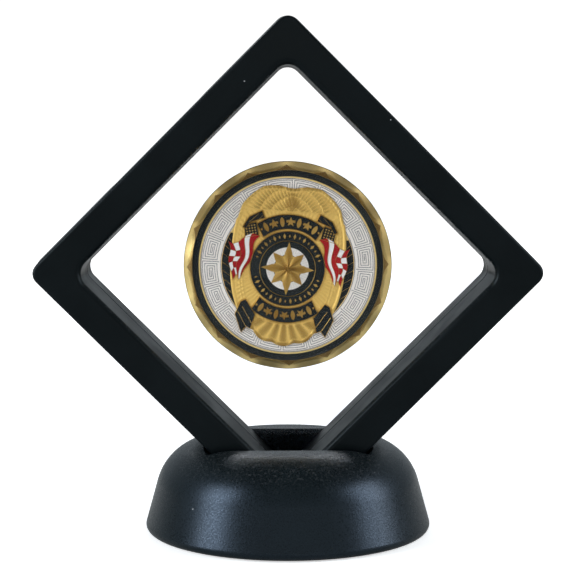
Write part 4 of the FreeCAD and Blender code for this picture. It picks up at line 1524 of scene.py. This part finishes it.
@dataclass
class Film:
    """Clear film of one frame half, stretched over the coin. Sizes in millimetres."""

    finishes: Finishes
    face: Face
    thickness: float = 0.12
    gap: float = 0.05
    lean_start: float = 27.9
    reach: float = 31.3
    rows: int = 40
    turns: int = 192
    relaxed: float = 0.08
    parting_gap: float = 0.07
    settle: float = 0.02
    squareness: int = 24

    def offset(self, radius: np.ndarray, edge: np.ndarray, coin_radius: float, lift: float
               ) -> np.ndarray:
        """Distance of the film from the parting plane.

        Args:
            radius: Distance from the window's centre.
            edge: Distance of the bonded square in that direction.
            coin_radius: The coin's radius.
            lift: The film's distance over the coin.

        Returns:
            The film's distance from the parting plane.
        """
        slope = np.log(edge / np.maximum(radius, coin_radius)) / np.log(edge / coin_radius)
        return lift * np.clip(slope, 0, 1) + self.parting_gap

    def faces(self) -> list[tuple[int, ...]]:
        """Faces of the two skins, of their hubs and of the edge between them.

        Returns:
            The faces, over the outer skin's rings, the inner skin's rings and the two hubs.
        """
        count, rows = self.turns, self.rows
        faces = []
        for layer in range(2):
            for i in range(rows - 1):
                for k in range(count):
                    a = (layer * rows + i) * count + k
                    b = (layer * rows + i) * count + (k + 1) % count
                    quad = (a, b, b + count, a + count)
                    faces.append(quad if layer == 0 else quad[::-1])
            first, hub = layer * rows * count, 2 * rows * count + layer
            faces += [(first + k, first + (k + 1) % count, hub) for k in range(count)]
        top, under = (rows - 1) * count, (2 * rows - 1) * count
        faces += [(top + k, top + (k + 1) % count, under + (k + 1) % count, under + k)
                  for k in range(count)]
        return faces

    def build(self) -> bpy.types.Object:
        """Build the film.

        Returns:
            The film's object.
        """
        body = "front_half" if self.face is Face.FRONT else "rear_half"
        node = "front_film" if self.face is Face.FRONT else "rear_film"
        low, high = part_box("coin_blank")
        centre = (low + high) / 2
        coin_radius = (high.x - low.x) / 2 / MM
        lift = (high.y - low.y) / 2 / MM + self.gap - self.settle
        window_low, window_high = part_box(node)
        window = (window_low + window_high) / 2
        shift_x, shift_z = (window.x - centre.x) / MM, (window.z - centre.z) / MM
        angle = np.linspace(0, 2 * math.pi, self.turns, endpoint=False)
        power = self.squareness
        square = 1 / (np.abs(np.cos(angle)) ** power + np.abs(np.sin(angle)) ** power) ** (
            1 / power)
        edge = square * self.lean_start
        border = square * self.reach
        rings = []
        for share in np.linspace(0.02, 1, self.rows):
            radius = share * border
            rings.append((radius, self.offset(radius, edge, coin_radius, lift)))
        shape = Shape()
        points = []
        for extra in (self.thickness, 0.0):
            for radius, offset in rings:
                a = radius * np.cos(angle)
                b = radius * np.sin(angle)
                away = np.clip((radius - coin_radius) / (edge - coin_radius), 0, 1)
                x = (a - b) / math.sqrt(2) + shift_x * away
                z = (a + b) / math.sqrt(2) + shift_z * away
                points.append(np.column_stack([x, self.face.value * (offset + extra), z]))
        crown = self.face.value * (lift + self.parting_gap)
        points.append(np.array([[0, crown + self.face.value * self.thickness, 0], [0, crown, 0]]))
        shape.add(np.vstack(points) * MM + np.array(centre), self.faces())
        piece = shape.object(body.split("_")[0] + "_window_film")
        self.finishes.dress(piece, "clear_film")
        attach(piece, body)
        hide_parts(node)
        if self.face is Face.FRONT:
            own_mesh(piece)
        log.info("film %s: %d faces", piece.name, len(piece.data.polygons))
        return piece


@dataclass
class Holder:
    """The moulded frame halves, their rings and pins, and the base: CAD nodes with finishes."""

    finishes: Finishes
    dressing: dict[str, str] = field(default_factory=lambda: {
        "front_frame": "frame_plastic", "rear_frame": "frame_plastic",
        "front_film_ring": "ring_plastic", "rear_film_ring": "ring_plastic",
        "hinge_pin_lower": "pin_steel", "hinge_pin_upper": "pin_steel",
        "base_shell": "base_plastic", "base_pad": "pad_rubber"})

    def build(self) -> None:
        """Give each node its finish."""
        for node, finish in self.dressing.items():
            self.finishes.dress(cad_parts[node], finish)
            log.info("node %s: %s", node, finish)


# ---------------------------------------------------------------------------------------------
# Studio
# ---------------------------------------------------------------------------------------------


@dataclass
class SoftBox:
    """One soft lamp. Angles are round the object, in degrees, and sizes in metres."""

    name: str
    azimuth: float
    elevation: float
    distance: float
    width: float
    height: float
    radiance: float
    colour: Colour = (1.0, 1.0, 1.0)


@dataclass
class Studio:
    """Camera, lamps, floor and surroundings."""

    distance: float = 0.340
    azimuth: float = -0.6
    elevation: float = 5.839
    roll: float = -0.034
    aim_right: float = 0.047 * MM
    aim_down: float = 3.65 * MM
    focal: float = 110.4
    sensor: float = 36.0
    aim: Vector = field(init=False)
    glow_all_round: float = 0.07
    glow_behind: float = 0.36
    glow_ahead: float = 1.25
    floor_half: float = 4.0
    floor_near: float = 0.12
    floor_far: float = 0.45
    floor_glow: Point = (0.60, 1.15)
    floor_seen: tuple[Colour, Colour] = ((0.90, 0.90, 0.905), (0.93, 0.93, 0.93))
    floor_lighting: tuple[Colour, Colour] = ((0.68, 0.675, 0.66), (0.72, 0.715, 0.70))
    glow_warm: Colour = (1.0, 0.98, 0.94)
    glow_cool: Colour = (0.84, 0.94, 1.0)
    white_seen: float = 1.1
    lamps: tuple[SoftBox, ...] = (
        SoftBox("left_box", -65, 19, 0.55, 0.20, 0.34, 14.0, (0.88, 0.95, 1.0)),
        SoftBox("right_box", 78, 19, 0.55, 0.28, 0.34, 8.5, (0.88, 0.95, 1.0)),
        SoftBox("rear_box", 180, 40, 0.80, 0.70, 0.40, 1.6),
    )

    def build(self) -> None:
        """Build the studio round the object."""
        low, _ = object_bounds()
        window_low, window_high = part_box("front_frame")
        self.aim = Vector((self.aim_right, 0.0, (window_low.z + window_high.z) / 2
                           - self.aim_down))
        self.camera()
        for lamp in self.lamps:
            self.lamp(lamp)
        self.floor(low.z)
        self.surroundings()

    @staticmethod
    def direction(azimuth: float, elevation: float) -> Vector:
        """Direction from the object, with azimuth 0 towards -Y and 90 towards +X."""
        a, e = math.radians(azimuth), math.radians(elevation)
        return Vector((math.sin(a) * math.cos(e), -math.cos(a) * math.cos(e), math.sin(e)))

    def camera(self) -> None:
        """Place the camera in front of the object, a little above its middle."""
        data = bpy.data.cameras.new("camera")
        data.sensor_width = self.sensor
        data.lens = self.focal
        data.clip_start, data.clip_end = 0.01, 50.0
        camera = bpy.data.objects.new("camera", data)
        bpy.context.scene.collection.objects.link(camera)
        back = self.direction(self.azimuth, self.elevation)
        camera.location = self.aim + back * self.distance
        turn = (-back).to_track_quat("-Z", "Y")
        camera.rotation_mode = "QUATERNION"
        roll = Quaternion((0, 0, 1), math.radians(self.roll))
        camera.rotation_quaternion = turn @ roll
        bpy.context.scene.camera = camera

    def lamp(self, lamp: SoftBox) -> None:
        """Hang one soft lamp.

        Args:
            lamp: The lamp's place, size and brightness.
        """
        data = bpy.data.lights.new(lamp.name, "AREA")
        data.shape = "RECTANGLE"
        data.size, data.size_y = lamp.width, lamp.height
        data.energy = math.pi * lamp.radiance * lamp.width * lamp.height
        data.color = lamp.colour
        way = self.direction(lamp.azimuth, lamp.elevation)
        shown = bpy.data.objects.new(lamp.name, data)
        shown.location = self.aim + way * lamp.distance
        shown.rotation_mode = "QUATERNION"
        shown.rotation_quaternion = (-way).to_track_quat("-Z", "Y")
        bpy.context.scene.collection.objects.link(shown)

    def floor(self, level: float) -> None:
        """Lay a plain pale floor, which the camera sees lighter than the object does.

        Args:
            level: Height of the floor.
        """
        shape = Shape()
        half = self.floor_half
        steps = 8
        line = np.linspace(-half, half, steps + 1)
        points = [(x, y, level) for y in line for x in line]
        faces = [(j * (steps + 1) + i, j * (steps + 1) + i + 1, (j + 1) * (steps + 1) + i + 1,
                  (j + 1) * (steps + 1) + i) for j in range(steps) for i in range(steps)]
        shape.add(np.array(points), faces)
        piece = shape.object("floor")
        material, board, shader = start_material("floor_paper")
        shader.inputs["Roughness"].default_value = 0.9
        shader.inputs["Specular IOR Level"].default_value = 0.1
        noise = board.add("TexNoise", Scale=60.0, Detail=4.0)
        board.join(board.add("TexCoord").outputs["Object"], noise.inputs["Vector"])
        paper = board.tint(noise.outputs[0], *self.floor_seen)
        grey = board.tint(noise.outputs[0], *self.floor_lighting)
        seen = board.add("LightPath").outputs["Is Camera Ray"]
        shown = board.tint(seen, grey, paper)
        board.join(shown, shader.inputs["Base Color"])
        board.join(shown, shader.inputs["Emission Color"])
        reach = board.add("VectorMath", operation="LENGTH")
        board.join(board.add("TexCoord").outputs["Object"], reach.inputs[0])
        fill = board.spread(reach.outputs["Value"], self.floor_near, self.floor_far,
                            *self.floor_glow)
        board.join(board.math("MULTIPLY", seen, fill), shader.inputs["Emission Strength"])
        piece.data.materials.append(material)
        piece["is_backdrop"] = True

    def surroundings(self) -> None:
        """Glow low ahead and behind, over a faint even one; the camera sees plain white."""
        world = bpy.data.worlds.new("studio")
        bpy.context.scene.world = world
        world.use_nodes = True
        world.node_tree.nodes.clear()
        board = NodeBoard(world.node_tree)
        way = board.add("SeparateXYZ")
        board.join(board.add("TexCoord").outputs["Generated"], way.inputs[0])
        behind = board.spread(way.outputs["Y"], -0.2, 1.0, 0.0, self.glow_behind)
        facing = board.spread(way.outputs["Y"], -1.0, -0.4, self.glow_ahead, 0.0)
        level = board.spread(way.outputs["Z"], 0.05, 0.38, 1.0, 0.22)
        ahead = board.math("MULTIPLY", facing, level)
        glow = board.math("ADD", board.math("ADD", behind, ahead), self.glow_all_round)
        room = board.add("Background")
        cool = board.spread(way.outputs["Y"], -0.3, 0.4, 0.0, 1.0)
        board.join(board.tint(cool, self.glow_warm, self.glow_cool), room.inputs["Color"])
        board.join(glow, room.inputs["Strength"])
        seen = board.add("Background", Color=(1, 1, 1, 1), Strength=self.white_seen)
        mix = board.add("MixShader")
        board.join(board.add("LightPath").outputs["Is Camera Ray"], mix.inputs[0])
        board.join(room.outputs[0], mix.inputs[1])
        board.join(seen.outputs[0], mix.inputs[2])
        board.join(mix.outputs[0], board.add("OutputWorld").inputs["Surface"])
        bpy.context.scene.view_settings.view_transform = "Standard"


def corners(box: tuple[Vector, Vector]) -> list[list[float]]:
    """Box as plain lists of numbers."""
    return [[float(value) for value in corner] for corner in box]


def main() -> None:
    """Build the studio and every piece of the display."""
    logging.basicConfig(level=logging.INFO, format="%(name)s: %(message)s")
    cad_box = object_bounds()
    finishes = Finishes()
    Studio().build()
    Holder(finishes).build()
    Coin(finishes).build()
    for face in Face:
        Film(finishes, face).build()
    {"cad": corners(cad_box), "visual": corners(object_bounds())}


if __name__ == "__main__":
    main()
